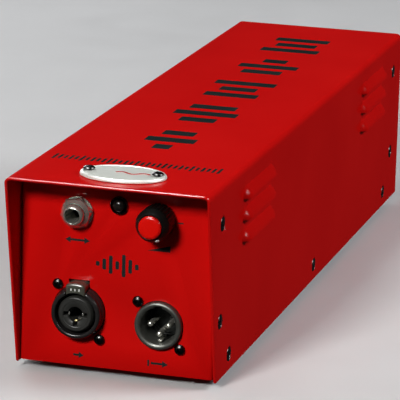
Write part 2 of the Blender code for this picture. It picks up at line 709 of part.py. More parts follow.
# ---------------------------------------------------------------- level control
def build_level_control():
    """A potentiometer behind the panel, its nut, its shaft, and the fluted knob and cap."""
    back = -CHASSIS_SHEET - GAP
    socket_r = SHAFT_R + GAP / 2
    socket_low = back - POT_SOCKET_DEPTH
    pot = [(0.0, socket_low), (socket_r, socket_low), (socket_r, POT_BUSHING_PROUD),
           (POT_BUSHING_R, POT_BUSHING_PROUD), (POT_BUSHING_R, back), (POT_CAN_R, back),
           (POT_CAN_R, back - POT_CAN_DEPTH), (0.0, back - POT_CAN_DEPTH)]
    turned("level_pot_body", pot, front_at(LEVEL_AT), "front", "zinc_plate")
    nut = plate("level_pot_nut", polygon(POT_NUT_FLATS), POT_NUT_H,
                front_at(LEVEL_AT, GAP + POT_NUT_H / 2), "front", "zinc_plate")
    cut(nut, rods("pot_nut_bore", [front_at(LEVEL_AT)], POT_BUSHING_R + GAP, 0.010, "front",
                  segments=24))
    shaft_low = socket_low + GAP
    shaft = [(0.0, SHAFT_PROUD), (SHAFT_R - 0.0004, SHAFT_PROUD), (SHAFT_R, SHAFT_PROUD - 0.0004),
             (SHAFT_R, shaft_low), (0.0, shaft_low)]
    turned("level_pot_shaft", shaft, front_at(LEVEL_AT), "front", "brass", 20)
    build_knob()


def build_knob():
    """The fluted knob, hollow at its back over the nut, and the cap pressed on its nose."""
    bore = SHAFT_R + GAP
    bore_end, hollow_end = SHAFT_PROUD + GAP, POT_BUSHING_PROUD + 2 * GAP
    nose = KNOB_PROUD - 0.0010
    knob = [(0.0, nose), (KNOB_NOSE_R - 0.0003, nose), (KNOB_NOSE_R, nose - 0.0003),
            (KNOB_R, nose - 0.0028), (KNOB_R, KNOB_STANDOFF), (KNOB_HOLLOW_R, KNOB_STANDOFF),
            (KNOB_HOLLOW_R, hollow_end), (bore, hollow_end), (bore, bore_end), (0.0, bore_end)]
    body = turned("level_knob", knob, front_at(LEVEL_AT), "front", "black_plastic", 36)
    flutes = []
    for i in range(KNOB_FLUTES):
        angle = 2 * math.pi * (i + 0.5) / KNOB_FLUTES
        reach = KNOB_R + FLUTE_R - 0.0004
        flutes.append((LEVEL_AT[0] + reach * math.cos(angle), PANEL_Y - KNOB_PROUD + 0.0045,
                       LEVEL_AT[1] + reach * math.sin(angle)))
    cut(body, rods("knob_flutes", flutes, FLUTE_R, FLUTE_LENGTH, "front", segments=8))
    cap_low = nose + GAP
    cap = [(0.0, KNOB_PROUD + 0.0010), (KNOB_CAP_R - 0.0009, KNOB_PROUD + 0.0009),
           (KNOB_CAP_R, KNOB_PROUD + 0.0002), (KNOB_CAP_R, cap_low), (0.0, cap_low)]
    turned("level_knob_cap", cap, front_at(LEVEL_AT), "front", "red_plastic")


# ---------------------------------------------------------------- combination input connector
def connector_flange(name, place, half, bore_r):
    """The mounting flange of a connector, which lies against the panel's back."""
    y = PANEL_BACK_Y + GAP + FLANGE_SHEET / 2
    flange = plate(name, rounded_rectangle(*half, FLANGE_CORNER), FLANGE_SHEET, (place[0], y, place[1]),
                   "front", None)
    cut(flange, rods(f"{name}_bore", [front_at(place)], bore_r, 0.020, "front", segments=ROUND))
    return flange


def build_combo_input():
    """A locking socket that takes either plug, with its centre insert and its latch."""
    x, z = COMBO_AT
    floor = COMBO_BACK_WALL - COMBO_DEPTH
    profile = [(0.0, floor), (COMBO_BORE_R, floor), (COMBO_BORE_R, COMBO_PROUD - 0.0004),
               (COMBO_BORE_R + 0.0004, COMBO_PROUD), (COMBO_LIP_R - 0.0003, COMBO_PROUD),
               (COMBO_LIP_R, COMBO_PROUD - 0.0003),
               (COMBO_SHOULDER_R, COMBO_PROUD - COMBO_SHOULDER_DROP), (COMBO_R, GAP), (COMBO_R, -COMBO_DEPTH),
               (0.0, -COMBO_DEPTH)]
    shell = turned("combo_shell", profile, front_at(COMBO_AT), "front", "gunmetal", 32)
    join(shell, connector_flange("combo_flange", COMBO_AT, COMBO_FLANGE_HALF,
                                 COMBO_BORE_R + FLANGE_BORE_MARGIN))
    screws = [(sx, PANEL_BACK_Y, sz) for name, sx, sz in connector_screw_places() if "combo" in name]
    cut(shell, rods("combo_screw_holes", screws, CONNECTOR_SCREW_SHANK_R + CLEARANCE, 0.012, "front"))
    slot_half = LATCH_HALF_WIDTH + GAP
    slot_low = math.sqrt(LATCH_UNDERSIDE_R ** 2 - LATCH_HALF_WIDTH ** 2) - GAP
    cut(shell, box("latch_slot", (x - slot_half, PANEL_Y - 0.010, z + slot_low),
                   (x + slot_half, PANEL_Y + LATCH_DEPTH + 0.0035, z + LATCH_CROWN + 0.0030), None))
    build_combo_insert(floor + GAP)

    length = LATCH_PROUD + LATCH_DEPTH
    latch = plate("combo_latch", latch_outline(), length,
                  (x, PANEL_Y - LATCH_PROUD + length / 2, z), "front", "grey_plastic")
    add_bevel(latch, 0.0004)


def build_combo_insert(low):
    """The centre insert: a jack hole with a contact slot on its left, its right and below."""
    x, z = COMBO_AT
    profile = [(JACK_BORE_R, COMBO_INSERT_PROUD), (COMBO_INSERT_R - 0.0008, COMBO_INSERT_PROUD),
               (COMBO_INSERT_R, COMBO_INSERT_PROUD - 0.0008), (COMBO_INSERT_R, low), (JACK_BORE_R, low)]
    insert = turned("combo_insert", profile, front_at(COMBO_AT), "front", "black_plastic", 28)
    front, back = PANEL_Y - COMBO_INSERT_PROUD - 0.001, PANEL_Y + 0.0080
    half, reach = CONTACT_SLOT_HALF, CONTACT_REACH
    cut(insert, box("contact_slot_across", (x - reach, front, z - half), (x + reach, back, z + half), None))
    cut(insert, box("contact_slot_below", (x - half, front, z - reach), (x + half, back, z), None))


def latch_outline():
    """From the socket's centre line: a hollow underside, two shoulders and an arched crown."""
    steps = 6
    span = math.asin(LATCH_HALF_WIDTH / LATCH_UNDERSIDE_R)
    points = []
    for i in range(steps + 1):
        angle = span * (2 * i / steps - 1)
        points.append((LATCH_UNDERSIDE_R * math.sin(angle), LATCH_UNDERSIDE_R * math.cos(angle)))
    for i in range(steps + 1):
        angle = math.pi * i / steps
        points.append((LATCH_HALF_WIDTH * math.cos(angle),
                       LATCH_SHOULDER + (LATCH_CROWN - LATCH_SHOULDER) * math.sin(angle)))
    return points


# ---------------------------------------------------------------- output connector
def build_xlr_output():
    """A three-pin plug connector: shell, insert and pins."""
    x, z = XLR_AT
    bottom = -XLR_DEPTH
    profile = [(XLR_BORE_R, XLR_PROUD - 0.0005), (XLR_BORE_R + 0.0005, XLR_PROUD),
               (XLR_R - 0.0010, XLR_PROUD), (XLR_R, XLR_PROUD - 0.0010), (XLR_R, bottom),
               (XLR_BORE_R, bottom)]
    shell = turned("xlr_shell", profile, front_at(XLR_AT), "front", "gunmetal", 32)
    join(shell, connector_flange("xlr_flange", XLR_AT, XLR_FLANGE_HALF, XLR_BORE_R + FLANGE_BORE_MARGIN))
    screws = [(sx, PANEL_BACK_Y, sz) for name, sx, sz in connector_screw_places() if "xlr" in name]
    cut(shell, rods("xlr_screw_holes", screws, CONNECTOR_SCREW_SHANK_R + CLEARANCE, 0.012, "front"))

    insert = [(0.0, bottom + XLR_FLOOR), (XLR_BORE_R - GAP, bottom + XLR_FLOOR),
              (XLR_BORE_R - GAP, bottom - 0.0010), (0.0, bottom - 0.0010)]
    body = turned("xlr_insert", insert, front_at(XLR_AT), "front", "black_plastic", 24)
    pins = {}
    for number, angle in ((1, 0.0), (2, math.pi), (3, -math.pi / 2)):
        pins[number] = (x + XLR_PIN_CIRCLE_R * math.cos(angle), z + XLR_PIN_CIRCLE_R * math.sin(angle))
    cut(body, rods("xlr_pin_holes", [front_at(pin, -0.0150) for pin in pins.values()],
                   XLR_PIN_R + GAP, 0.030, "front"))
    tip, low = XLR_PIN_PROUD, bottom - XLR_FLOOR
    pin_profile = [(0.0, tip), (XLR_PIN_R * 0.6, tip - 0.0002), (XLR_PIN_R, tip - 0.0010),
                   (XLR_PIN_R, low), (0.0, low)]
    for number, pin in pins.items():
        turned(f"xlr_pin_{number}", pin_profile, front_at(pin), "front", "chrome", SMALL_ROUND)


# ---------------------------------------------------------------- rear panel fittings
def rear_at(place, proud=0.0):
    return (place[0], REAR_PANEL_Y + proud, place[1])


def build_power_inlet():
    """A mains inlet with a fuse drawer in its upper part and three blades in its cavity."""
    x, z = INLET_AT
    face = REAR_PANEL_Y + GAP
    inlet = box("power_inlet", (x - INLET_HALF_X, REAR_PANEL_Y - INLET_DEPTH, z - INLET_HALF_Z),
                (x + INLET_HALF_X, face + 0.0010, z + INLET_HALF_Z), "black_plastic")
    half_x, half_z = INLET_HALF_X + REAR_RIM, INLET_HALF_Z + REAR_RIM
    join(inlet, box("inlet_flange", (x - half_x, face, z - half_z),
                    (x + half_x, face + REAR_RIM, z + half_z), None, 0.0006))
    cut(inlet, box("inlet_cavity", (x - CAVITY_HALF_X, REAR_PANEL_Y - CAVITY_DEPTH, z + CAVITY_Z[0]),
                   (x + CAVITY_HALF_X, face + 0.0050, z + CAVITY_Z[1]), None))
    for label, dx, dz in (("earth", 0.0, 0.0035), ("live", -0.0070, -0.0005), ("neutral", 0.0070, -0.0005)):
        blade_z = z + BLADE_RISE + dz
        join(inlet, box(f"{label}_blade",
                        (x + dx - BLADE_HALF_X, REAR_PANEL_Y - CAVITY_DEPTH - 0.0015, blade_z - BLADE_HALF_Z),
                        (x + dx + BLADE_HALF_X, REAR_PANEL_Y - 0.0010, blade_z + BLADE_HALF_Z), None))
    fuse_z = z + FUSE_RISE
    half_x, half_z = FUSE_HALF_X + GAP, FUSE_HALF_Z + GAP
    cut(inlet, box("fuse_pocket", (x - half_x, REAR_PANEL_Y - FUSE_DEPTH - 0.0005, fuse_z - half_z),
                   (x + half_x, face + 0.0050, fuse_z + half_z), None))
    build_fuse_drawer(x, fuse_z, face)


def build_fuse_drawer(x, z, face):
    """A drawer with a trough for the fuse, open on top, and a lip to pull it by."""
    drawer = box("fuse_drawer", (x - FUSE_HALF_X, REAR_PANEL_Y - FUSE_DEPTH, z - FUSE_HALF_Z),
                 (x + FUSE_HALF_X, face + 0.0022, z + FUSE_HALF_Z), "black_plastic", 0.0004)
    half_x = FUSE_HALF_X - FUSE_WALL
    cut(drawer, box("fuse_trough", (x - half_x, REAR_PANEL_Y - 0.0150, z - FUSE_HALF_Z + FUSE_WALL),
                    (x + half_x, REAR_PANEL_Y - 0.0010, z + FUSE_HALF_Z + 0.0020), None))
    join(drawer, box("drawer_lip", (x - 0.0040, face + 0.0015, z - 0.0010),
                     (x + 0.0040, face + 0.0034, z + 0.0006), None))


def build_power_switch():
    """A rocker switch: its frame, and the rocker on a pivot across it."""
    x, z = SWITCH_AT
    face = REAR_PANEL_Y + GAP
    frame = box("power_switch_frame", (x - SWITCH_HALF_X, REAR_PANEL_Y - SWITCH_DEPTH, z - SWITCH_HALF_Z),
                (x + SWITCH_HALF_X, face + 0.0010, z + SWITCH_HALF_Z), "black_plastic")
    half_x, half_z = SWITCH_HALF_X + REAR_RIM, SWITCH_HALF_Z + REAR_RIM
    join(frame, box("switch_flange", (x - half_x, face, z - half_z),
                    (x + half_x, face + REAR_RIM, z + half_z), None, 0.0006))
    half_x, half_z = ROCKER_HALF_X + 0.0005, ROCKER_HALF_Z + 0.0014
    cut(frame, box("switch_pocket", (x - half_x, REAR_PANEL_Y - 0.0120, z - half_z),
                   (x + half_x, face + 0.0060, z + half_z), None))
    waist, tip, keel = 0.0042, 0.0055, 0.0045
    outline = [(0.0, waist), (ROCKER_HALF_Z, tip), (ROCKER_HALF_Z, 0.0010), (0.0030, -keel),
               (-0.0030, -keel), (-ROCKER_HALF_Z, 0.0010), (-ROCKER_HALF_Z, tip)]
    rocker = plate("power_switch_rocker", outline, 2 * ROCKER_HALF_X, (x, ROCKER_AXIS_Y, z), "right",
                   "black_plastic")
    rocker.rotation_mode = "ZYX"
    rocker.rotation_euler = (ROCKER_REST, math.pi / 2, 0.0)


def build_ground_lift():
    """A toggle switch: body and bushing behind the panel, and its ball-pivoted lever."""
    x, z = LIFT_AT
    profile = [(LIFT_BUSHING_R - 0.0003, 0.0052), (LIFT_BUSHING_R, 0.0048), (LIFT_BUSHING_R, -0.0040),
               (LIFT_BORE_R, -0.0040), (LIFT_BORE_R, 0.0030), (LIFT_BORE_R + 0.0004, 0.0052)]
    body = turned("ground_lift_body", profile, rear_at(LIFT_AT), "rear", "chrome", 20)
    join(body, box("lift_case", (x - 0.0040, REAR_PANEL_IN_Y - GAP - 0.0105, z - 0.0065),
                   (x + 0.0040, REAR_PANEL_IN_Y - GAP, z + 0.0065), None))
    cut(body, rods("lift_socket", [rear_at(LIFT_AT, -0.0012)], LIFT_BORE_R, 0.0068, "rear", segments=20))
    lever = [(0.0, 0.0085), (0.0008, 0.0083), (0.0011, 0.0077), (0.0007, 0.0010), (0.0007, -0.0012),
             (0.0, -0.0012)]
    stick = turned("ground_lift_lever", lever, rear_at(LIFT_AT, -0.0010), "rear", "chrome", 16)
    stick.rotation_euler = (-math.pi / 2 - LIFT_REST, 0.0, 0.0)


# ---------------------------------------------------------------- inside the case
def build_inside():
    """The circuit board, the valve and its socket, two transformers and a capacitor."""
    box("circuit_board", (-BOARD_HALF_X, BOARD_Y[0], BOARD_Z), (BOARD_HALF_X, BOARD_Y[1], BOARD_TOP_Z),
        "board_green")
    floor = BOARD_TOP_Z + GAP
    x, y = VALVE_AT
    turned("valve_socket", [(0.0, SOCKET_H), (SOCKET_R, SOCKET_H), (SOCKET_R, 0.0), (0.0, 0.0)],
           (x, y, floor), "up", "ceramic", 24)
    glass = [(0.0, 0.0520), (0.0016, 0.0515), (0.0028, 0.0480), (0.0060, 0.0455), (0.0090, 0.0420),
             (VALVE_R, 0.0380), (VALVE_R, 0.0020), (0.0085, 0.0), (0.0, 0.0)]
    turned("vacuum_valve", glass, (x, y, floor + SOCKET_H + GAP), "up", "valve_glass", 24)
    x, y = CAPACITOR_AT
    can = [(0.0, CAPACITOR_H), (CAPACITOR_R - 0.0006, CAPACITOR_H), (CAPACITOR_R, CAPACITOR_H - 0.0006),
           (CAPACITOR_R, 0.0), (0.0, 0.0)]
    turned("filter_capacitor", can, (x, y, floor), "up", "capacitor_blue", 24)
    x, y = OUTPUT_TRANSFORMER_AT
    half_x, half_y, height = OUTPUT_CORE
    box("output_transformer", (x - half_x, y - half_y, floor), (x + half_x, y + half_y, floor + height),
        "core_steel", 0.0015)
    build_power_transformer(TRAY_FLOOR_Z + GAP)


def build_power_transformer(base):
    """A laminated core on the tray, with its winding through the window of the core."""
    y = POWER_TRANSFORMER_Y
    half_x, half_y, height = POWER_CORE
    core = box("power_transformer_core", (-half_x, y - half_y, base), (half_x, y + half_y, base + height),
               "core_steel", 0.0008)
    low, high = (base + z for z in POWER_WINDOW_Z)
    half_x = POWER_WINDOW_HALF
    cut(core, box("winding_window", (-half_x, y - half_y - 0.004, low), (half_x, y + half_y + 0.004, high),
                  None))
    box("power_transformer_winding", (-half_x + GAP, y - WINDING_HALF_Y, low + GAP),
        (half_x - GAP, y + WINDING_HALF_Y, high - GAP), "winding_tape", 0.0030)


def build_all():
    build_cover()
    build_tray()
    build_front_panel()
    build_rear_panel()
    build_feet()
    build_cover_screws()
    build_connector_screws()
    build_badge()
    build_thru_jack()
    build_indicator()
    build_level_control()
    build_combo_input()
    build_xlr_output()
    build_power_inlet()
    build_power_switch()
    build_ground_lift()
    build_inside()


clear_scene()
PARTS = new_collection("direct_injection_box")
CUTTERS = new_collection("cutters")
MATERIALS = {name: new_material(name, *finish) for name, finish in FINISHES.items()}
build_all()
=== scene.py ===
"""Looks of the direct injection box: finishes, fine surfaces, camera and light.

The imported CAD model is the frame.  Every piece made here rides on one of its
bodies, in metres, with the front panel facing -Y and the top facing +Z.
"""
import json
import math

import bmesh
import bpy
from mathutils import Euler, Matrix, Vector


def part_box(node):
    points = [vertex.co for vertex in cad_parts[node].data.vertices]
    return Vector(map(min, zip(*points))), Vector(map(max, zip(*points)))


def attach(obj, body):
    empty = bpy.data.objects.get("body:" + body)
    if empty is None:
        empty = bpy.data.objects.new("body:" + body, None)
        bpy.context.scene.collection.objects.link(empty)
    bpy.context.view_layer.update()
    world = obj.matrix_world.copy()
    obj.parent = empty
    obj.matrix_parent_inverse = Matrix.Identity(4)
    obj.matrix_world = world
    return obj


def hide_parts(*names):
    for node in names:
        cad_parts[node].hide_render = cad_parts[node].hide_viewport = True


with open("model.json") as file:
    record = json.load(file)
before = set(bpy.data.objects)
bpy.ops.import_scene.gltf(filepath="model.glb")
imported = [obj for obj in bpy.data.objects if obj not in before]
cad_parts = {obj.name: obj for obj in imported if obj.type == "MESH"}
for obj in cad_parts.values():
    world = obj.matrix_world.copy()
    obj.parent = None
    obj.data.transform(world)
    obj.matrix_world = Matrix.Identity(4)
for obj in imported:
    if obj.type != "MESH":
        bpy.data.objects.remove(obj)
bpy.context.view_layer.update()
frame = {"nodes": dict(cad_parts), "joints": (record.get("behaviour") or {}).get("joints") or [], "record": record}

# ---------------------------------------------------------------- sizes read from the frame
CASE = "case"
TRAY_LOW, TRAY_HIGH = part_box("base_tray")
COVER_LOW, COVER_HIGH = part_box("cover_shell")
PANEL_LOW, PANEL_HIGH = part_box("front_panel")
REAR_LOW, REAR_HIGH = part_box("rear_panel")
BADGE_LOW, BADGE_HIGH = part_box("badge_plate")
GAP = 0.0003
COVER_SHEET = 0.0014
CHASSIS_SHEET = 0.0015
LOUVRE_PROUD = 0.0032
HALF_WIDTH = COVER_HIGH.x - LOUVRE_PROUD
FRONT_Y, REAR_Y = COVER_LOW.y, COVER_HIGH.y
BOTTOM_Z, TOP_Z = COVER_LOW.z, COVER_HIGH.z
PANEL_Y = PANEL_LOW.y
REAR_PANEL_Y = REAR_HIGH.y

# ---------------------------------------------------------------- shape details
HOOD_SLANT = 0.0175
COVER_BEND = 0.0030
RIM_ROUND = 0.00065
CHASSIS_BEND = 0.0020
LOUVRE_LENGTH = 0.050
LOUVRE_HEIGHT = 0.0052
LOUVRE_END = 0.0050
LOUVRE_THINNING = 0.45
LOUVRE_Z = (0.0590, 0.0685, 0.0780)
LOUVRE_Y = (FRONT_Y + 0.078, FRONT_Y + 0.300)
COVER_SCREW_R, COVER_SHANK_R, COVER_SCREW_REACH = 0.0032, 0.0014, 0.0062
SUNK_CLEARANCE = 0.0004
SHANK_CLEARANCE = 0.00035
INDICATOR_BARREL_R, INDICATOR_RIM_R, LENS_R = 0.0033, 0.0039, 0.0028
COMBO_R, COMBO_LIP_R, COMBO_BORE_R, COMBO_INSERT_R = 0.0117, 0.0099, 0.0090, 0.0080
COMBO_SHOULDER_R, COMBO_SHOULDER_DROP = 0.0112, 0.0021
JACK_BORE_R, JACK_CREST_R, JACK_THREAD_PITCH = 0.0033, 0.0047, 0.0006
JACK_NUT_FLATS, JACK_WASHER = 0.0125, 0.0005
LATCH_UNDERSIDE_R, LATCH_SHOULDER, LATCH_ROUND = 0.0093, 0.0124, 0.0013
XLR_R, XLR_BORE_R = 0.0105, 0.0080
BADGE_DISH = 0.00025
REAR_RIM, WINDOW_INSET, FUSE_TRAY_WALL = 0.0018, 0.0016, 0.0015
KNOB_NOSE_R, KNOB_CAP_R = 0.0058, 0.0050
KNOB_FLUTES, KNOB_FLUTE_DEPTH = 28, 0.00042
KNOB_INDEX_ANGLE = math.radians(-66)
CONNECTOR_HEAD_R, CONNECTOR_HEAD_H, BADGE_HEAD_R, BADGE_HEAD_H = 0.0024, 0.0017, 0.0026, 0.0013
SUNK_DOME = 0.0003
FINE_EDGE = 0.00018
ROCKER_HALF_X, ROCKER_HALF_Z, ROCKER_REST = 0.0060, 0.0078, math.radians(11)
LIFT_CREST_R, LIFT_THREAD_PITCH, LIFT_NUT_FLATS = 0.0030, 0.0005, 0.0080
LEVER_TIP_R, LEVER_REST = 0.0011, math.radians(-10)
LEVEL_BARS = (0.0010, 0.0024, 0.0040, 0.0018, 0.0049, 0.0030, 0.0012)
INK = 0.00005

QUARTER = math.pi / 2
FACING = {
    "up": Matrix.Identity(4),
    "front": Euler((QUARTER, 0.0, 0.0)).to_matrix().to_4x4(),
    "rear": Euler((-QUARTER, 0.0, 0.0)).to_matrix().to_4x4(),
    "right": Euler((0.0, QUARTER, 0.0)).to_matrix().to_4x4(),
    "left": Euler((0.0, -QUARTER, 0.0)).to_matrix().to_4x4(),
}


# ---------------------------------------------------------------- finishes
class Finish:
    """A node material in the making: texture sources feed one Principled shader."""

    def __init__(self, name):
        self.material = bpy.data.materials.new(name)
        self.material.use_nodes = True
        self.nodes = self.material.node_tree.nodes
        self.links = self.material.node_tree.links
        self.shader = self.nodes["Principled BSDF"]
        self.place = self.nodes.new("ShaderNodeTexCoord").outputs["Object"]

    def fixed(self, **values):
        for name, value in values.items():
            self.shader.inputs[name.replace("_", " ")].default_value = value
        return self

    def stretched(self, stretch):
        if stretch == (1, 1, 1):
            return self.place
        mapping = self.nodes.new("ShaderNodeMapping")
        mapping.inputs["Scale"].default_value = stretch
        self.links.new(self.place, mapping.inputs["Vector"])
        return mapping.outputs["Vector"]

    def noise(self, scale, detail=3.0, rough=0.5, stretch=(1, 1, 1)):
        node = self.nodes.new("ShaderNodeTexNoise")
        node.inputs["Scale"].default_value = scale
        node.inputs["Detail"].default_value = detail
        node.inputs["Roughness"].default_value = rough
        self.links.new(self.stretched(stretch), node.inputs["Vector"])
        return node.outputs["Fac"]

    def cells(self, scale, stretch=(1, 1, 1)):
        node = self.nodes.new("ShaderNodeTexVoronoi")
        node.inputs["Scale"].default_value = scale
        self.links.new(self.stretched(stretch), node.inputs["Vector"])
        return node.outputs["Distance"]

    def bands(self, scale, axis="X", distortion=0.0):
        node = self.nodes.new("ShaderNodeTexWave")
        node.bands_direction = axis
        node.inputs["Scale"].default_value = scale
        node.inputs["Distortion"].default_value = distortion
        self.links.new(self.place, node.inputs["Vector"])
        return node.outputs["Fac"]

    def ramp(self, source, stops):
        """A colour ramp; each stop is (position, colour)."""
        node = self.nodes.new("ShaderNodeValToRGB")
        elements = node.color_ramp.elements
        while len(elements) < len(stops):
            elements.new(1.0)
        for element, (position, colour) in zip(elements, stops):
            element.position = position
            element.color = (*colour, 1.0)
        self.links.new(source, node.inputs["Fac"])
        return node.outputs["Color"]

    def mixed(self, factor, first, second):
        node = self.nodes.new("ShaderNodeMix")
        node.data_type = "RGBA"
        self.links.new(factor, node.inputs["Factor"])
        for socket, colour in ((node.inputs[6], first), (node.inputs[7], second)):
            if isinstance(colour, tuple):
                socket.default_value = (*colour, 1.0)
            else:
                self.links.new(colour, socket)
        return node.outputs[2]

    def ranged(self, source, low, high):
        node = self.nodes.new("ShaderNodeMapRange")
        node.inputs["To Min"].default_value = low
        node.inputs["To Max"].default_value = high
        node.inputs["From Min"].default_value = 0.3
        node.inputs["From Max"].default_value = 0.7
        self.links.new(source, node.inputs["Value"])
        return node.outputs["Result"]

    def colour(self, source):
        self.links.new(source, self.shader.inputs["Base Color"])
        return self

    def roughness(self, source, low, high):
        self.links.new(self.ranged(source, low, high), self.shader.inputs["Roughness"])
        return self

    def bump(self, source, distance, strength=1.0):
        node = self.nodes.new("ShaderNodeBump")
        node.inputs["Strength"].default_value = strength
        node.inputs["Distance"].default_value = distance
        self.links.new(source, node.inputs["Height"])
        before = self.shader.inputs["Normal"].links
        if before:
            self.links.new(before[0].from_socket, node.inputs["Normal"])
        self.links.new(node.outputs["Normal"], self.shader.inputs["Normal"])
        return self


def paint(name, dark, light, coat, coat_rough):
    """Satin-gloss powder coat: a faint orange peel and slow changes of tone."""
    finish = Finish(name)
    finish.colour(finish.ramp(finish.noise(18.0, 2.0), [(0.3, dark), (0.7, light)]))
    finish.roughness(finish.noise(90.0, 2.0), 0.31, 0.35)
    finish.bump(finish.noise(620.0, 2.0), 0.00002)
    finish.fixed(Specular_IOR_Level=0.0, Coat_Weight=coat, Coat_Roughness=coat_rough)
    return finish.material


def metal(name, dark, light, rough, grain=(1, 1, 1), grain_scale=300.0, bump=0.00001, metallic=1.0):
    """Plated or turned metal: tone and roughness follow a grain."""
    finish = Finish(name)
    finish.fixed(Metallic=metallic)
    streaks = finish.noise(grain_scale, 4.0, 0.6, grain)
    finish.colour(finish.ramp(streaks, [(0.3, dark), (0.7, light)]))
    finish.roughness(finish.noise(grain_scale * 0.4, 3.0, 0.6, grain), *rough)
    finish.bump(streaks, bump)
    return finish.material


def plastic(name, dark, light, rough, texture=900.0, bump=0.00004, specular=0.4):
    """Moulded plastic or rubber with a fine spark-eroded texture."""
    finish = Finish(name)
    finish.colour(finish.ramp(finish.noise(60.0, 3.0), [(0.3, dark), (0.7, light)]))
    finish.roughness(finish.noise(140.0, 3.0), *rough)
    finish.bump(finish.noise(texture, 2.0), bump)
    finish.fixed(Specular_IOR_Level=specular)
    return finish.material


def board_finish():
    """Green solder resist with darker tracks and small tinned pads."""
    finish = Finish("board_resist")
    copper = finish.bands(48.0, "X", 6.0)
    tracks = finish.ramp(copper, [(0.45, (0.006, 0.07, 0.03)), (0.55, (0.01, 0.12, 0.05))])
    pads = finish.ramp(finish.cells(190.0), [(0.10, (1.0, 1.0, 1.0)), (0.14, (0.0, 0.0, 0.0))])
    finish.colour(finish.mixed(pads, tracks, (0.55, 0.56, 0.55)))
    finish.roughness(finish.noise(90.0), 0.30, 0.42)
    finish.bump(copper, 0.00003)
    return finish.material


def glass_finish():
    finish = Finish("valve_envelope")
    finish.colour(finish.ramp(finish.noise(40.0), [(0.3, (0.86, 0.88, 0.88)), (0.7, (0.95, 0.96, 0.96))]))
    finish.roughness(finish.noise(120.0), 0.02, 0.06)
    finish.fixed(Transmission_Weight=0.85, IOR=1.47)
    return finish.material


def lamination_finish():
    """A stack of lacquered steel sheets, seen on edge."""
    finish = Finish("laminations")
    sheets = finish.bands(640.0, "Y")
    finish.colour(finish.ramp(sheets, [(0.2, (0.010, 0.010, 0.011)), (0.8, (0.045, 0.045, 0.050))]))
    finish.roughness(finish.noise(110.0), 0.35, 0.55)
    finish.bump(sheets, 0.00005)
    finish.fixed(Metallic=0.5)
    return finish.material


def lens_finish():
    """A dark glass jewel that is off."""
    finish = Finish("indicator_jewel")
    facets = finish.cells(900.0)
    finish.colour(finish.ramp(facets, [(0.2, (0.004, 0.004, 0.004)), (0.8, (0.016, 0.012, 0.010))]))
    finish.roughness(finish.noise(300.0), 0.05, 0.12)
    finish.bump(facets, 0.00004)
    finish.fixed(Coat_Weight=0.12, Coat_Roughness=0.30, Specular_IOR_Level=0.20)
    return finish.material


FINISHES = {
    "red_paint": paint("red_powder_coat", (0.56, 0.0030, 0.0026), (0.61, 0.0046, 0.0038), 0.28, 0.15),
    "zinc_plate": metal("zinc_plating", (0.48, 0.48, 0.46), (0.64, 0.64, 0.62), (0.28, 0.42)),
    "black_oxide": metal("black_nickel", (0.030, 0.030, 0.030), (0.065, 0.064, 0.062), (0.16, 0.26)),
    "gunmetal": metal("dark_chrome", (0.075, 0.077, 0.068), (0.115, 0.118, 0.105), (0.30, 0.40),
                      metallic=0.6),
    "chrome": metal("bright_nickel", (0.56, 0.55, 0.49), (0.70, 0.69, 0.62), (0.18, 0.28), metallic=0.80),
    "silver_plate": metal("brushed_silver", (0.67, 0.70, 0.65), (0.80, 0.83, 0.77), (0.30, 0.44),
                          grain=(1.0, 30.0, 1.0), grain_scale=90.0, bump=0.000015, metallic=0.25),
    "black_plastic": plastic("black_plastic", (0.003, 0.0035, 0.003), (0.007, 0.008, 0.007), (0.34, 0.46),
                             specular=0.25),
    "black_rubber": plastic("black_rubber", (0.010, 0.010, 0.010), (0.024, 0.024, 0.024), (0.70, 0.88),
                            texture=500.0, bump=0.00008),
    "red_plastic": plastic("red_cap_plastic", (0.74, 0.003, 0.0005), (0.82, 0.004, 0.001), (0.18, 0.24),
                           bump=0.00001, specular=0.5),
    "grey_plastic": plastic("grey_latch", (0.065, 0.068, 0.052), (0.100, 0.102, 0.080), (0.16, 0.24),
                            specular=0.8),
    "dark_lens": lens_finish(),
    "brass": metal("turned_brass", (0.40, 0.32, 0.15), (0.54, 0.44, 0.22), (0.36, 0.48)),
    "board_green": board_finish(),
    "valve_glass": glass_finish(),
    "ceramic": plastic("glazed_ceramic", (0.72, 0.71, 0.66), (0.84, 0.83, 0.78), (0.14, 0.24), bump=0.00002),
    "core_steel": lamination_finish(),
    "winding_tape": plastic("winding_tape", (0.50, 0.30, 0.05), (0.66, 0.44, 0.10), (0.24, 0.36)),
    "capacitor_blue": plastic("capacitor_sleeve", (0.01, 0.03, 0.14), (0.03, 0.06, 0.22), (0.20, 0.30)),
}
EDGE_PAINT = paint("red_powder_coat_edge", (0.56, 0.0030, 0.0026), (0.61, 0.0046, 0.0038), 0.80, 0.14)
SATIN_BLACK = plastic("satin_black", (0.012, 0.011, 0.011), (0.022, 0.020, 0.020), (0.20, 0.30), bump=0.00001)
CHARCOAL = plastic("charcoal_moulding", (0.017, 0.017, 0.015), (0.027, 0.027, 0.024), (0.34, 0.46))
BLACK_INK = plastic("black_ink", (0.013, 0.018, 0.018), (0.020, 0.027, 0.027), (0.46, 0.58), bump=0.00001,
                    specular=0.0)
WHITE_INK = plastic("white_ink", (0.78, 0.78, 0.76), (0.86, 0.86, 0.84), (0.34, 0.46), bump=0.00001)
RED_ENAMEL = plastic("red_enamel", (0.42, 0.010, 0.010), (0.55, 0.020, 0.018), (0.14, 0.24), bump=0.00001)


# ---------------------------------------------------------------- making pieces
def linked(name, data):
    obj = bpy.data.objects.new(name, data)
    bpy.context.scene.collection.objects.link(obj)
    return obj


def mesh_from(name, bm):
    mesh = bpy.data.meshes.new(name)
    bm.to_mesh(mesh)
    bm.free()
    return mesh


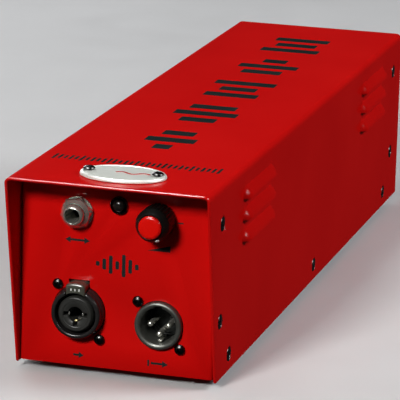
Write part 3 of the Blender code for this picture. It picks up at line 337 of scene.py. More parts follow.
def as_object(name, bm, matrix=None):
    """A mesh object in the scene, its placing already in its vertices."""
    bmesh.ops.recalc_face_normals(bm, faces=bm.faces)
    mesh = mesh_from(name, bm)
    if matrix is not None:
        mesh.transform(matrix)
    return linked(name, mesh)


def sweep(full, steps, first=0):
    """Equal steps of an angle, from 0 or a later step up to the full angle."""
    return [full * i / steps for i in range(first, steps + 1)]


def at(location, facing="up"):
    return Matrix.Translation(location) @ FACING[facing]


def lathe(profile, steps=48, shape=None):
    """A turned solid from (radius, height) points, from the top down its outer side.

    shape(radius, height, angle) may change the radius round the axis, for flats or flutes.
    """
    bm = bmesh.new()
    rings = []
    for radius, height in profile:
        if radius == 0:
            rings.append([bm.verts.new((0.0, 0.0, height))])
            continue
        ring = []
        for i in range(steps):
            angle = 2 * math.pi * i / steps
            reach = shape(radius, height, angle) if shape else radius
            ring.append(bm.verts.new((reach * math.cos(angle), reach * math.sin(angle), height)))
        rings.append(ring)
    pairs = list(zip(rings, rings[1:]))
    if profile[0][0] > 0 and profile[-1][0] > 0:
        pairs.append((rings[-1], rings[0]))
    for upper, lower in pairs:
        for i in range(steps):
            j = (i + 1) % steps
            above, below = len(upper), len(lower)
            corners = (upper[i % above], lower[i % below], lower[j % below], upper[j % above])
            bm.faces.new(tuple(dict.fromkeys(corners)))
    return bm


def block(low, high, taper=0.0):
    """A box between two corners; taper draws its low end in."""
    low, high = Vector(low), Vector(high)
    bm = bmesh.new()
    bmesh.ops.create_cube(bm, size=1.0, matrix=Matrix.Translation((low + high) / 2)
                          @ Matrix.Diagonal((*(high - low), 1.0)))
    if taper:
        middle = (low + high) / 2
        for vert in bm.verts:
            if vert.co.z < middle.z:
                vert.co.x = middle.x + (vert.co.x - middle.x) * (1 - taper)
                vert.co.y = middle.y + (vert.co.y - middle.y) * (1 - taper)
    return bm


def prism(outlines, low, high):
    """Flat shapes drawn in XY, each run from one height to another."""
    bm = bmesh.new()
    for outline in outlines:
        base = [bm.verts.new((x, y, low)) for x, y in outline]
        lid = [bm.verts.new((x, y, high)) for x, y in outline]
        bm.faces.new(list(reversed(base)))
        bm.faces.new(lid)
        for i in range(len(outline)):
            j = (i + 1) % len(outline)
            bm.faces.new((base[i], base[j], lid[j], lid[i]))
    return bm


def bevelled(obj, width, segments=2, angle=35):
    modifier = obj.modifiers.new("edges", "BEVEL")
    modifier.width = width
    modifier.segments = segments
    modifier.limit_method = "ANGLE"
    modifier.angle_limit = math.radians(angle)
    return obj


def cut(obj, cutters, operation="DIFFERENCE"):
    """Boolean other objects out of this one, or into it."""
    for cutter in cutters:
        modifier = obj.modifiers.new(cutter.name, "BOOLEAN")
        modifier.operation = operation
        modifier.solver = "EXACT"
        modifier.object = cutter
    return obj


def settled(obj, cutters=(), sharp=32):
    """Apply every modifier, drop the cutters, and shade the result smooth up to an angle."""
    graph = bpy.context.evaluated_depsgraph_get()
    mesh = bpy.data.meshes.new_from_object(obj.evaluated_get(graph))
    obj.modifiers.clear()
    obj.data = mesh
    for cutter in cutters:
        bpy.data.objects.remove(cutter, do_unlink=True)
    mesh.shade_smooth()
    mesh.set_sharp_from_angle(angle=math.radians(sharp))
    return obj


def piece(obj, finish, body=CASE, replaces=(), material=None):
    """Give a finished object its material, its body, and the CAD nodes that it stands for."""
    obj.data.materials.clear()
    obj.data.materials.append(material or FINISHES[finish])
    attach(obj, body)
    if replaces:
        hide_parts(*replaces)
    return obj


def turned(name, profile, steps, place, finish, body=CASE, replaces=(), material=None, sharp=32, shape=None):
    """A piece made on the lathe, shaded, finished and put on its body."""
    obj = settled(as_object(name, lathe(profile, steps, shape), place), sharp=sharp)
    return piece(obj, finish, body, replaces, material)


def middle(node):
    low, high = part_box(node)
    return (low + high) / 2


def on_front(node):
    """The point of the front panel's face behind a round part's axis."""
    centre = middle(node)
    return Vector((centre.x, PANEL_Y, centre.z))


def on_rear(node):
    centre = middle(node)
    return Vector((centre.x, REAR_PANEL_Y, centre.z))


def quarter(centre, radius, first, steps=4):
    """Points of a quarter circle, from the angle first, anticlockwise, in degrees."""
    points = []
    for i in range(steps + 1):
        angle = math.radians(first + 90.0 * i / steps)
        points.append((centre[0] + radius * math.cos(angle), centre[1] + radius * math.sin(angle)))
    return points


def rounded(half_x, half_y, radius, centre=(0.0, 0.0), steps=4):
    """A rectangle with round corners, anticlockwise."""
    points = []
    for turn, (sx, sy) in enumerate(((1, 1), (-1, 1), (-1, -1), (1, -1))):
        corner = (centre[0] + sx * (half_x - radius), centre[1] + sy * (half_y - radius))
        points += quarter(corner, radius, 90 * turn, steps)
    return points


def bend_path(corners, radius, steps):
    """A path through right-angled corners, each one rounded."""
    path = [Vector(corners[0])]
    for before, corner, after in zip(corners, corners[1:], corners[2:]):
        corner = Vector(corner)
        back = (Vector(before) - corner).normalized()
        ahead = (Vector(after) - corner).normalized()
        centre = corner + radius * (back + ahead)
        for angle in sweep(QUARTER, steps):
            path.append(centre - radius * (ahead * math.cos(angle) + back * math.sin(angle)))
    path.append(Vector(corners[-1]))
    return path


def folded(name, path, start, end, thickness):
    """Sheet metal folded along a path, open at both ends, with its thickness inwards."""
    bm = bmesh.new()
    near = [bm.verts.new(start(point)) for point in path]
    far = [bm.verts.new(end(point)) for point in path]
    for i in range(len(path) - 1):
        bm.faces.new((near[i], near[i + 1], far[i + 1], far[i]))
    obj = linked(name, mesh_from(name, bm))
    thicken(obj, thickness)
    return obj


def thicken(obj, thickness):
    skin = obj.modifiers.new("sheet", "SOLIDIFY")
    skin.thickness = thickness
    skin.offset = -1.0
    skin.use_even_offset = True
    return skin


# ---------------------------------------------------------------- the cover
def louvre_bulge(y, z):
    """How far a louvre pushes the side outwards at a point, 0 where there is none."""
    for centre_y in LOUVRE_Y:
        inside = LOUVRE_LENGTH / 2 - abs(y - centre_y)
        if inside <= 0:
            continue
        along = min(1.0, inside / LOUVRE_END)
        out = 1 - (1 - along) ** 1.7
        tall = LOUVRE_HEIGHT * min(1.0, 0.5 + 0.7 * along)
        for centre_z in LOUVRE_Z:
            rise = (z - centre_z + LOUVRE_HEIGHT / 2) / tall
            if -0.001 <= rise <= 1:
                return LOUVRE_PROUD * out * math.cos(math.pi / 2 * rise)
    return 0.0


def cover_lines():
    """The Y lines and the Z lines of the cover's grid, closer together at the louvres."""
    ends = (-0.0004, 0.0, 0.0004, 0.0009, 0.0015, 0.0021, 0.0028, 0.0036, 0.0050, 0.0070)
    steps = [LOUVRE_LENGTH / 2 - inside for inside in ends]
    ys = [FRONT_Y + 0.040, FRONT_Y + 0.047]
    for centre in LOUVRE_Y:
        ys += [centre - step for step in steps] + [centre] + [centre + step for step in reversed(steps)]
        if centre == LOUVRE_Y[0]:
            ys += [centre + 0.060, (LOUVRE_Y[0] + LOUVRE_Y[1]) / 2, LOUVRE_Y[1] - 0.060]
    ys += [REAR_Y - 0.030, REAR_Y - 0.004, REAR_Y]
    up = (-1.16, -1.0, -0.8, -0.55, -0.25, 0.1, 0.4, 0.7, 0.88, 1.0)
    zs = [BOTTOM_Z, BOTTOM_Z + 0.004, 0.022, 0.040, 0.052]
    for centre in LOUVRE_Z:
        zs += [centre + w * LOUVRE_HEIGHT / 2 for w in up]
    zs.append(TOP_Z - COVER_BEND - 0.002)
    return ys, zs


def build_cover():
    """One grid over both sides and the top; the strip under each louvre's lip is left open."""
    ys, zs = cover_lines()
    front_share = (0.0, 0.03, 0.15, 0.5)
    corner = [(math.sin(a), math.cos(a)) for a in sweep(QUARTER, 8)]
    section = [(-1, z) for z in zs]
    across = [(-HALF_WIDTH + COVER_BEND * (1 - c), TOP_Z - COVER_BEND * (1 - s)) for s, c in corner]
    inner = HALF_WIDTH - COVER_BEND
    across += [(x * inner, TOP_Z) for x in (-0.6, -0.2, 0.2, 0.6)]
    across += [(-x, z) for x, z in reversed(across[:9])]
    columns = [(-HALF_WIDTH, z, -1) for _, z in section] + [(x, z, 0) for x, z in across]
    columns += [(HALF_WIDTH, z, 1) for _, z in reversed(section)]

    bm = bmesh.new()
    layer = bm.verts.layers.deform.verify()
    grid, bulges = [], {}
    for x, z, side in columns:
        front = FRONT_Y + HOOD_SLANT * (TOP_Z - z) / (TOP_Z - BOTTOM_Z)
        row = []
        for y in [front + share * (ys[0] - front) for share in front_share] + ys:
            bulge = louvre_bulge(y, z) if side else 0.0
            vert = bm.verts.new((x + side * bulge, y, z))
            bulges[vert] = bulge
            row.append(vert)
        grid.append(row)
    lip_rise = 0.17 * LOUVRE_HEIGHT / 2
    for row, following in zip(grid, grid[1:]):
        for i in range(len(row) - 1):
            corners = (row[i], following[i], following[i + 1], row[i + 1])
            levels = sorted({round(v.co.z, 6) for v in corners})
            under_lip = len(levels) > 1 and levels[-1] - levels[0] < lip_rise
            open_here = [bulges[v] for v in corners if bulges[v] > LOUVRE_PROUD * 0.45]
            if under_lip and len(open_here) == 2 and min(bulges[v] for v in corners) == 0.0:
                continue
            bm.faces.new(corners)
    for vert in bm.verts:
        near_louvre = bulges[vert] > 0 or any(bulges[edge.other_vert(vert)] > 0 for edge in vert.link_edges)
        vert[layer][0] = LOUVRE_THINNING if near_louvre else 1.0
    cover = linked("case_cover", mesh_from("case_cover", bm))
    cover.vertex_groups.new(name="thickness")
    thicken(cover, COVER_SHEET).vertex_group = "thickness"
    settled(cover)
    mark_rims(cover)
    bevelled(cover, RIM_ROUND, 5)
    cover.modifiers["edges"].limit_method = "WEIGHT"
    holes = screw_hole_cutter()
    cut(cover, [holes])
    piece(settled(cover, [holes], 40), "red_paint", replaces=("cover_shell",))
    paint_front_edge(cover)


def mark_rims(cover):
    """Give the sharp edges of the cut sheet their full bevel weight, and the louvres none."""
    bm = bmesh.new()
    bm.from_mesh(cover.data)
    weight = bm.edges.layers.float.new("bevel_weight_edge")
    for edge in bm.edges:
        near = (edge.verts[0].co + edge.verts[1].co) / 2
        on_rim = near.y < FRONT_Y + HOOD_SLANT + 0.001 or near.y > REAR_Y - 0.001 or near.z < BOTTOM_Z + 0.001
        if on_rim and edge.calc_face_angle(0.0) > math.radians(60):
            edge[weight] = 1.0
    bm.to_mesh(cover.data)
    bm.free()


def screw_hole_cutter():
    """Holes for the cover's screws, each with its countersink."""
    bm = bmesh.new()
    inner_r, outer_r = COVER_SHANK_R + SHANK_CLEARANCE, COVER_SCREW_R + SUNK_CLEARANCE
    for node in frame["nodes"]:
        if node.startswith("cover_screw"):
            centre = middle(node)
            side = 1 if centre.x > 0 else -1
            place = at((side * HALF_WIDTH, centre.y, centre.z), "right" if side > 0 else "left")
            profile = [(0, 0.0010), (outer_r + 0.0010, 0.0010), (outer_r, 0.0), (inner_r, inner_r - outer_r),
                       (inner_r, -0.0040), (0, -0.0040)]
            sink = lathe(profile, 32)
            sink.transform(place)
            mesh = mesh_from("sink", sink)
            bm.from_mesh(mesh)
            bpy.data.meshes.remove(mesh)
    return as_object("screw_holes", bm)


def paint_front_edge(cover):
    """The rounded front edge of the cover takes the thicker, glossier coat that gathers there."""
    cover.data.materials.append(EDGE_PAINT)
    for face in cover.data.polygons:
        y, z = face.center.y, face.center.z
        front = FRONT_Y + HOOD_SLANT * (TOP_Z - z) / (TOP_Z - BOTTOM_Z)
        if y - front < 0.0007:
            face.material_index = 1


# ---------------------------------------------------------------- chassis
def round_cutter(name, holes, y):
    """Rods through a panel, each (x, z, radius)."""
    bm = bmesh.new()
    for x, z, radius in holes:
        bmesh.ops.create_cone(bm, cap_ends=True, segments=48, radius1=radius, radius2=radius, depth=0.010,
                              matrix=at((x, y, z), "front"))
    return as_object(name, bm)


def build_end_panel(name, node, face_y, inward, holes, windows):
    """A panel with side flanges, its corners notched over the tray, and its openings."""
    low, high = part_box(node)
    inner_y = low.y if inward < 0 else high.y
    corners = [(low.x, inner_y), (low.x, face_y), (high.x, face_y), (high.x, inner_y)]
    path = bend_path(corners, CHASSIS_BEND, 8)
    if inward < 0:
        path.reverse()
    panel = folded(name, path, lambda p: (p.x, p.y, low.z), lambda p: (p.x, p.y, high.z), CHASSIS_SHEET)
    cutters = [round_cutter(name + "_holes", holes, face_y)] if holes else []
    for x, z, half_x, half_z in windows:
        cutters.append(as_object("window", block((x - half_x, face_y - 0.005, z - half_z),
                                                 (x + half_x, face_y + 0.005, z + half_z))))
    for side in (-1, 1):
        reach = sorted((side * (high.x + 0.002), side * (high.x - CHASSIS_BEND - GAP)))
        depth = sorted((face_y + inward * (CHASSIS_SHEET + GAP), inner_y + inward * 0.004))
        cutters.append(as_object("notch", block((reach[0], depth[0], low.z - 0.002),
                                                (reach[1], depth[1], TRAY_HIGH.z + GAP))))
    cut(panel, cutters)
    bevelled(panel, FINE_EDGE, 2, 50)
    piece(settled(panel, cutters), "red_paint", replaces=(node,))


def build_chassis():
    front_holes = []
    for node, radius in (("thru_jack_nut", 0.0050), ("indicator_lens", INDICATOR_BARREL_R + GAP),
                         ("level_knob", 0.0038), ("combo_shell", COMBO_R + GAP), ("xlr_shell", XLR_R + GAP)):
        centre = middle(node)
        front_holes.append((centre.x, centre.z, radius))
    low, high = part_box("combo_latch")
    latch = ((low.x + high.x) / 2, (low.z + high.z) / 2 - 0.002, (high.x - low.x) / 2 + GAP,
             (high.z - low.z) / 2 + 0.002 + GAP)
    build_end_panel("front_face", "front_panel", PANEL_Y, 1, front_holes, [latch])
    lift = middle("ground_lift_body")
    windows = []
    for node in ("power_inlet", "power_switch_frame"):
        low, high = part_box(node)
        windows.append(((low.x + high.x) / 2, (low.z + high.z) / 2, (high.x - low.x) / 2 - WINDOW_INSET,
                        (high.z - low.z) / 2 - WINDOW_INSET))
    build_end_panel("rear_face", "rear_panel", REAR_PANEL_Y, -1, [(lift.x, lift.z, 0.0033)], windows)

    path = bend_path([(TRAY_HIGH.x, TRAY_HIGH.z), (TRAY_HIGH.x, TRAY_LOW.z), (TRAY_LOW.x, TRAY_LOW.z),
                      (TRAY_LOW.x, TRAY_HIGH.z)], CHASSIS_BEND, 8)
    tray = folded("case_bottom", path, lambda p: (p.x, TRAY_LOW.y, p.y), lambda p: (p.x, TRAY_HIGH.y, p.y),
                  CHASSIS_SHEET)
    bevelled(tray, FINE_EDGE, 2, 50)
    piece(settled(tray), "red_paint", replaces=("base_tray",))


def build_feet():
    for end in ("front", "rear"):
        for side in ("left", "right"):
            node = f"foot_{end}_{side}"
            low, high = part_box(node)
            radius, height = (high.x - low.x) / 2, high.z - low.z
            profile = [(0, height), (radius - 0.0002, height), (radius, height - 0.0002)]
            profile += [(radius - 0.0006 + 0.0006 * math.cos(a), 0.0006 - 0.0006 * math.sin(a))
                        for a in sweep(QUARTER, 4)]
            profile += [(0.0028, 0.0), (0.0024, 0.0006), (0, 0.0006)]
            turned(f"rubber_{node}", profile, 48, at((low.x + radius, low.y + radius, 0.0)), "black_rubber",
                   replaces=(node,))


# ---------------------------------------------------------------- screws
def pan_profile(head_r, head_h, shank_r, reach):
    """A domed head; zero is the surface that it is screwed to."""
    profile = [(0, GAP + head_h)]
    for angle in sweep(QUARTER, 9, 1):
        profile.append((head_r * math.sin(angle), GAP + head_h * (0.12 + 0.88 * math.cos(angle))))
    return profile + [(head_r - 0.0001, GAP), (shank_r, GAP), (shank_r, -reach), (0, -reach)]


def sunk_profile(head_r, dome, shank_r, reach):
    """A countersunk head with a low dome; zero is the surface that it is flush with."""
    profile = [(0, dome)]
    profile += [(head_r * i / 6, dome * (1 - (i / 6) ** 2) - 0.00004) for i in range(1, 6)]
    profile += [(head_r - 0.0001, 0.0), (head_r, -0.00012), (shank_r, shank_r - head_r)]
    return profile + [(shank_r, -reach), (0, -reach)]


def screw_mesh(profile, head_r, top, recess):
    """A screw with a cross recess in its head."""
    screw = as_object("screw", lathe(profile, 40))
    cutters = []
    for turn in (0, 1):
        wide, thin = head_r * 0.58, head_r * 0.13
        half = (wide, thin) if turn else (thin, wide)
        cutters.append(as_object("cross", block((-half[0], -half[1], top - recess),
                                                (half[0], half[1], top + 0.0004), 0.35)))
    cut(screw, cutters)
    bevelled(screw, head_r * 0.025, 2, 50)
    settled(screw, cutters, 40)
    mesh = screw.data
    bpy.data.objects.remove(screw, do_unlink=True)
    return mesh


def place_screw(mesh, node, surface, facing, turn):
    copy = mesh.copy()
    copy.transform(at(surface, facing) @ Matrix.Rotation(turn, 4, "Z"))
    piece(linked("pan_" + node, copy), "black_oxide", replaces=(node,))


def build_screws():
    cover_mesh = screw_mesh(sunk_profile(COVER_SCREW_R, SUNK_DOME, COVER_SHANK_R, COVER_SCREW_REACH),
                            COVER_SCREW_R, SUNK_DOME, 0.0011)
    connector_mesh = screw_mesh(pan_profile(CONNECTOR_HEAD_R, CONNECTOR_HEAD_H, 0.0012, 0.0070),
                                CONNECTOR_HEAD_R, GAP + CONNECTOR_HEAD_H, 0.0011)
    badge_mesh = screw_mesh(pan_profile(BADGE_HEAD_R, BADGE_HEAD_H, 0.0012, 0.0042),
                            BADGE_HEAD_R, GAP + BADGE_HEAD_H, 0.0009)
    turn = 0.0
    for node in sorted(frame["nodes"]):
        if "screw_" not in node:
            continue
        turn += 0.7
        centre = middle(node)
        if node.startswith("cover_screw"):
            side = 1 if "right" in node else -1
            place_screw(cover_mesh, node, (side * HALF_WIDTH, centre.y, centre.z),
                        "right" if side > 0 else "left", turn)
        elif node.startswith("badge_screw"):
            place_screw(badge_mesh, node, (centre.x, centre.y, BADGE_HIGH.z), "up", turn)
        else:
            place_screw(connector_mesh, node, (centre.x, PANEL_Y, centre.z), "front", turn)


# ---------------------------------------------------------------- badge
def build_badge():
    """An oval plate with a raised, rounded rim and an enamelled wave on it."""
    half_x, half_y = (BADGE_HIGH.x - BADGE_LOW.x) / 2, (BADGE_HIGH.y - BADGE_LOW.y) / 2
    height = BADGE_HIGH.z - BADGE_LOW.z
    centre = Vector(((BADGE_LOW.x + BADGE_HIGH.x) / 2, (BADGE_LOW.y + BADGE_HIGH.y) / 2, BADGE_LOW.z))

    def oval(radius, _, angle):
        reach = half_x * half_y / math.hypot(half_y * math.cos(angle), half_x * math.sin(angle))
        return reach * radius

    face = height - BADGE_DISH
    profile = [(0, face), (0.5, face), (0.885, face), (0.895, height - 0.00008), (0.905, height),
               (0.935, height), (0.955, height - 0.00010), (0.975, height - 0.00030),
               (0.990, height - 0.00060),
               (1.0, height - 0.0010), (1.0, 0.0), (0.5, 0.0), (0, 0.0)]
    turned("oval_badge", profile, 96, at(centre), "silver_plate", replaces=("badge_plate",), shape=oval)

    face = BADGE_HIGH.z - BADGE_DISH
    points = []
    for i in range(49):
        t = i / 48
        points.append((centre.x + (t - 0.22) * half_x * 0.80, centre.y + 0.0013 * math.sin(t * 3 * math.pi)))
    wave = as_object("badge_wave", ribbon(points, 0.0010, face - INK, face + 0.00012))
    piece(settled(wave), "red_plastic", material=RED_ENAMEL)


def ribbon(points, width, low, high):
    """A flat strip of one width along a path in XY, from one height to another."""
    left, right = [], []
    for i, point in enumerate(points):
        ahead = Vector(points[min(i + 1, len(points) - 1)]) - Vector(points[max(i - 1, 0)])
        across = Vector((-ahead.y, ahead.x)).normalized() * width / 2
        left.append(tuple(Vector(point) + across))
        right.append(tuple(Vector(point) - across))
    bm = bmesh.new()
    rings = []
    for (lx, ly), (rx, ry) in zip(left, right):
        corners = ((lx, ly, low), (rx, ry, low), (rx, ry, high), (lx, ly, high))
        rings.append([bm.verts.new(corner) for corner in corners])
    for ring, following in zip(rings, rings[1:]):
        for i in range(4):
            j = (i + 1) % 4
            bm.faces.new((ring[i], ring[j], following[j], following[i]))
    bm.faces.new(rings[0])
    bm.faces.new(rings[-1])
    return bm


# ---------------------------------------------------------------- marks, all of them plain shapes
def bar(centre_x, centre_y, half_x, half_y, radius=0.0004):
    return rounded(half_x, half_y, radius, (centre_x, centre_y), 3)


def build_top_marks():
    """Five groups of bars down the top, and one row of fine strokes by the badge."""
    bars = []
    group_lengths = ((0.0040, 0.0115, 0.0075), (0.0085, 0.0150, 0.0110), (0.0130, 0.0090, 0.0150),
                     (0.0100, 0.0150, 0.0060), (0.0150, 0.0105, 0.0140))
    first, pitch, bar_pitch = FRONT_Y + 0.0770, 0.0560, 0.0135
    for group, lengths in enumerate(group_lengths):
        for i, half_length in enumerate(lengths):
            y = first + group * pitch + i * bar_pitch
            bars.append(bar(0.0010, y, half_length, 0.0041, 0.0006))
    strokes = []
    count = 31
    for i in range(count):
        x = (i / (count - 1) - 0.5) * 0.0740
        tall = 0.0044 if i % 5 == 0 else 0.0028 + 0.0008 * (i % 2)
        strokes.append(bar(x, FRONT_Y + 0.0435, 0.0006, tall, 0.0003))
    marks = as_object("top_marks", prism(bars + strokes, TOP_Z - INK, TOP_Z + INK))
    piece(settled(marks), "black_plastic", material=BLACK_INK)


def arrow(x, z, length, half, head):
    """An arrow pointing to the right from x."""
    tip = x + length
    neck = tip - head
    thin = half * 0.32
    return [(x, z - thin), (neck, z - thin), (neck, z - half), (tip, z), (neck, z + half), (neck, z + thin),
            (x, z + thin)]


def mirrored(outline, about):
    return [(2 * about - x, z) for x, z in reversed(outline)]


def build_panel_marks():
    """Plain symbols where a panel is lettered: arrows, a wedge, ticks and a row of level bars."""
    shapes = []
    jack, level, combo, output = (on_front(n) for n in
                                  ("thru_jack_nut", "level_knob", "combo_shell", "xlr_shell"))
    jack_z = jack.z - 0.0124
    shapes.append(arrow(jack.x, jack_z, 0.0055, 0.0014, 0.0024))
    shapes.append(mirrored(arrow(jack.x, jack_z, 0.0055, 0.0014, 0.0024), jack.x))
    wedge_z = level.z - 0.0126
    shapes.append([(level.x - 0.0050, wedge_z - 0.0014), (level.x + 0.0050, wedge_z - 0.0014),
                   (level.x + 0.0050, wedge_z + 0.0014)])
    for side in (-1, 1):
        shapes.append(bar(level.x + side * 0.0092, level.z - 0.0008, 0.0013, 0.0003, 0.0002))
    low_z = 0.0089
    shapes.append(arrow(combo.x - 0.0022, low_z, 0.0046, 0.0014, 0.0022))
    shapes.append(bar(output.x - 0.0044, low_z, 0.0004, 0.0014, 0.0002))
    shapes.append(arrow(output.x - 0.0032, low_z, 0.0076, 0.0014, 0.0026))
    for i, half in enumerate(LEVEL_BARS):
        shapes.append(bar((i - 3) * 0.0029, 0.0506, 0.0008, half, 0.0005))
    marks = as_object("panel_marks", prism(shapes, -INK, INK), at((0.0, PANEL_Y, 0.0), "front"))
    piece(settled(marks), "black_plastic", material=BLACK_INK)


# ---------------------------------------------------------------- thru jack
def hexagon(flats, turn):
    """A shape for lathe: hexagonal flats wherever the profile reaches past them."""
    def shape(radius, _, angle):
        if radius < flats / 2 * 0.95:
            return radius
        local = (angle - turn) % (math.pi / 3) - math.pi / 6
        flat = flats / 2 / math.cos(local)
        return min(flat, radius)
    return shape


def hex_nut(flats, bore, height):
    """A nut with both faces chamfered round its corners; its base is at zero."""
    across = flats / math.cos(math.pi / 6) / 2
    cut_r = flats / 2 * 1.01
    drop = (across - cut_r) * 0.6
    profile = [(bore + 0.0002, height), (cut_r, height), (across, height - drop), (across, 0.0002),
               (across - 0.0002, 0.0), (bore + 0.0002, 0.0), (bore, 0.0003), (bore, height - 0.0003)]
    return lathe(profile, 96, hexagon(flats, 0.0))


def build_thru_jack():
    centre = on_front("thru_jack_nut")
    place = at(centre, "front")
    proud = PANEL_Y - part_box("thru_jack_bushing")[0].y
    back = PANEL_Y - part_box("thru_jack_bushing")[1].y
    bore, crest = JACK_BORE_R, JACK_CREST_R
    profile = [(bore, proud - 0.0010), (bore, proud - 0.0003), (bore + 0.00006, proud - 0.0001),
               (bore + 0.0002, proud), (bore + 0.0006, proud - 0.0002), (crest - 0.0003, proud - 0.0009),
               (crest - 0.0001, proud - 0.0012), (crest, proud - 0.0016)]
    height = proud - 0.0020
    while height > 0.0022:
        profile += [(crest, height), (crest - 0.0004, height - 0.00012)]
        height -= JACK_THREAD_PITCH
    profile += [(crest, height), (crest, -0.0018), (0.0062, -0.0018), (0.0062, back), (bore, back)]
    turned("jack_sleeve", profile, 64, place, "chrome", replaces=("thru_jack_bushing",))

    across = JACK_NUT_FLATS / math.cos(math.pi / 6) / 2
    profile = [(crest + 0.0002, 0.0044), (0.0050, 0.0044), (0.0052, 0.0042), (0.0062, 0.0030),
               (0.0063, 0.0026), (across, 0.0016), (across, 0.0002), (across - 0.0002, 0.0),
               (crest + 0.0002, 0.0)]
    turned("jack_nut", profile, 96, at(centre + Vector((0, -GAP - JACK_WASHER, 0)), "front"), "chrome",
           replaces=("thru_jack_nut",), sharp=25, shape=hexagon(JACK_NUT_FLATS, math.radians(12)))
    washer = [(crest + 0.0002, JACK_WASHER), (0.0069, JACK_WASHER), (0.0070, 0.0004), (0.0070, 0.0001),
              (0.0069, 0.0), (crest + 0.0002, 0.0)]
    turned("jack_washer", washer, 64, at(centre + Vector((0, -GAP, 0)), "front"), "chrome")
    tongue = block((-0.0011, -0.0032, -0.0150), (0.0011, -0.0026, -0.0040))
    piece(settled(bevelled(as_object("jack_tip_spring", tongue, place), 0.0003)), "brass")


# ---------------------------------------------------------------- indicator
def build_indicator():
    centre = on_front("indicator_lens")
    place = at(centre, "front")
    rim_r, lens_r = INDICATOR_RIM_R, LENS_R
    profile = [(lens_r + 0.0002, 0.0013), (lens_r + 0.0005, 0.0017), (rim_r - 0.0005, 0.0018),
               (rim_r - 0.0001, 0.0015), (rim_r, 0.0011), (rim_r, GAP), (INDICATOR_BARREL_R, GAP),
               (INDICATOR_BARREL_R, -0.0080), (lens_r + 0.0002, -0.0080)]
    turned("indicator_rim", profile, 64, place, "black_oxide", replaces=("indicator_bezel",))
    dome = [(0, 0.0030)]
    for angle in sweep(QUARTER, 8, 1):
        dome.append((lens_r * math.sin(angle), 0.0012 + 0.0018 * math.cos(angle)))
    dome += [(lens_r, -0.0060), (0, -0.0060)]
    turned("indicator_jewel", dome, 64, place, "dark_lens", replaces=("indicator_lens",))


# ---------------------------------------------------------------- level knob
def build_level_knob():
    centre = on_front("level_knob")
    place = at(centre, "front")
    low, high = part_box("level_knob")
    radius = (high.x - low.x) / 2
    nose = PANEL_Y - low.y
    foot = PANEL_Y - high.y
    body = "level_control"

    def fluted(reach, height, angle):
        if reach < radius * 0.97 or height > nose - 0.0031:
            return reach
        return reach - KNOB_FLUTE_DEPTH * (0.5 - 0.5 * math.cos(angle * KNOB_FLUTES)) ** 2

    profile = [(0, nose - 0.0004), (KNOB_CAP_R + 0.0001, nose - 0.0004), (KNOB_CAP_R + 0.0003, nose - 0.0001),
               (KNOB_NOSE_R - 0.0002, nose), (KNOB_NOSE_R, nose - 0.0002),
               (radius - 0.0004, nose - 0.0024), (radius - 0.0001, nose - 0.0028),
               (radius, nose - 0.0033), (radius, nose - 0.0036), (radius, foot + 0.0010),
               (radius, foot + 0.0002), (radius - 0.0002, foot), (0.0062, foot), (0.0062, 0.0054),
               (0.0033, 0.0054), (0.0033, 0.0123),
               (0, 0.0123)]
    turned("knob_body", profile, 6 * KNOB_FLUTES, place, "black_plastic", body, ("level_knob",),
           sharp=45, shape=fluted)

    cap_r = KNOB_CAP_R
    top = PANEL_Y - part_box("level_knob_cap")[0].y
    low_cap = PANEL_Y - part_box("level_knob_cap")[1].y
    dome = [(0, top)]
    for i in range(1, 7):
        dome.append(((cap_r - 0.0010) * i / 6, top - 0.00010 * (i / 6) ** 2))
    dome += [(cap_r - 0.0008, top - 0.00016), (cap_r - 0.0002, top - 0.00062), (cap_r, top - 0.0009),
             (cap_r, low_cap), (0, low_cap)]
    turned("knob_cap", dome, 72, place, "red_plastic", body, ("level_knob_cap",))

    reach = (radius + KNOB_NOSE_R) / 2
    tilt = Matrix.Rotation(KNOB_INDEX_ANGLE, 4, "Z") @ Matrix.Translation((reach + 0.0002, 0, nose - 0.0015))
    tilt = tilt @ Matrix.Rotation(math.radians(58), 4, "Y")
    dot = [(0, 0.00022), (0.0007, 0.00020), (0.00085, 0.0001), (0.00085, -0.0002), (0, -0.0002)]
    turned("knob_index", dot, 32, place @ tilt, "silver_plate", body, material=WHITE_INK)


# ---------------------------------------------------------------- combination input
def build_combo_input():
    """The locking socket: a tapered collar, the insert with its contacts, and the latch."""
    centre = on_front("combo_shell")
    low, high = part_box("combo_shell")
    proud, bottom = PANEL_Y - low.y, PANEL_Y - high.y
    floor = bottom + 0.0020
    profile = [(0, floor), (COMBO_BORE_R, floor), (COMBO_BORE_R, proud - 0.0009),
               (COMBO_BORE_R + 0.0001, proud - 0.0004), (COMBO_BORE_R + 0.0003, proud - 0.0001),
               (COMBO_BORE_R + 0.0005, proud)]
    for angle in sweep(QUARTER, 8):
        profile.append((COMBO_LIP_R + (COMBO_SHOULDER_R - COMBO_LIP_R) * math.sin(angle),
                        proud - COMBO_SHOULDER_DROP * (1 - math.cos(angle))))
    profile += [(COMBO_SHOULDER_R - 0.0002, proud - COMBO_SHOULDER_DROP - 0.0002),
                (COMBO_SHOULDER_R, proud - COMBO_SHOULDER_DROP - 0.0004), (COMBO_R, GAP), (COMBO_R, bottom),
                (0, bottom)]
    shell = as_object("input_shell", lathe(profile, 96), at(centre, "front"))
    latch_low, latch_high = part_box("combo_latch")
    slot_low = centre.z + math.sqrt(LATCH_UNDERSIDE_R ** 2 - (latch_high.x - centre.x) ** 2) - GAP
    slot = as_object("slot", block((latch_low.x - GAP, PANEL_Y - 0.010, slot_low),
                                   (latch_high.x + GAP, PANEL_Y + 0.0115, latch_high.z + 0.004)))
    cut(shell, [slot])
    bevelled(shell, 0.00015, 2, 60)
    piece(settled(shell, [slot], 38), "gunmetal", replaces=("combo_shell",), material=SATIN_BLACK)
    build_combo_insert(centre, floor + GAP)
    build_latch(centre)


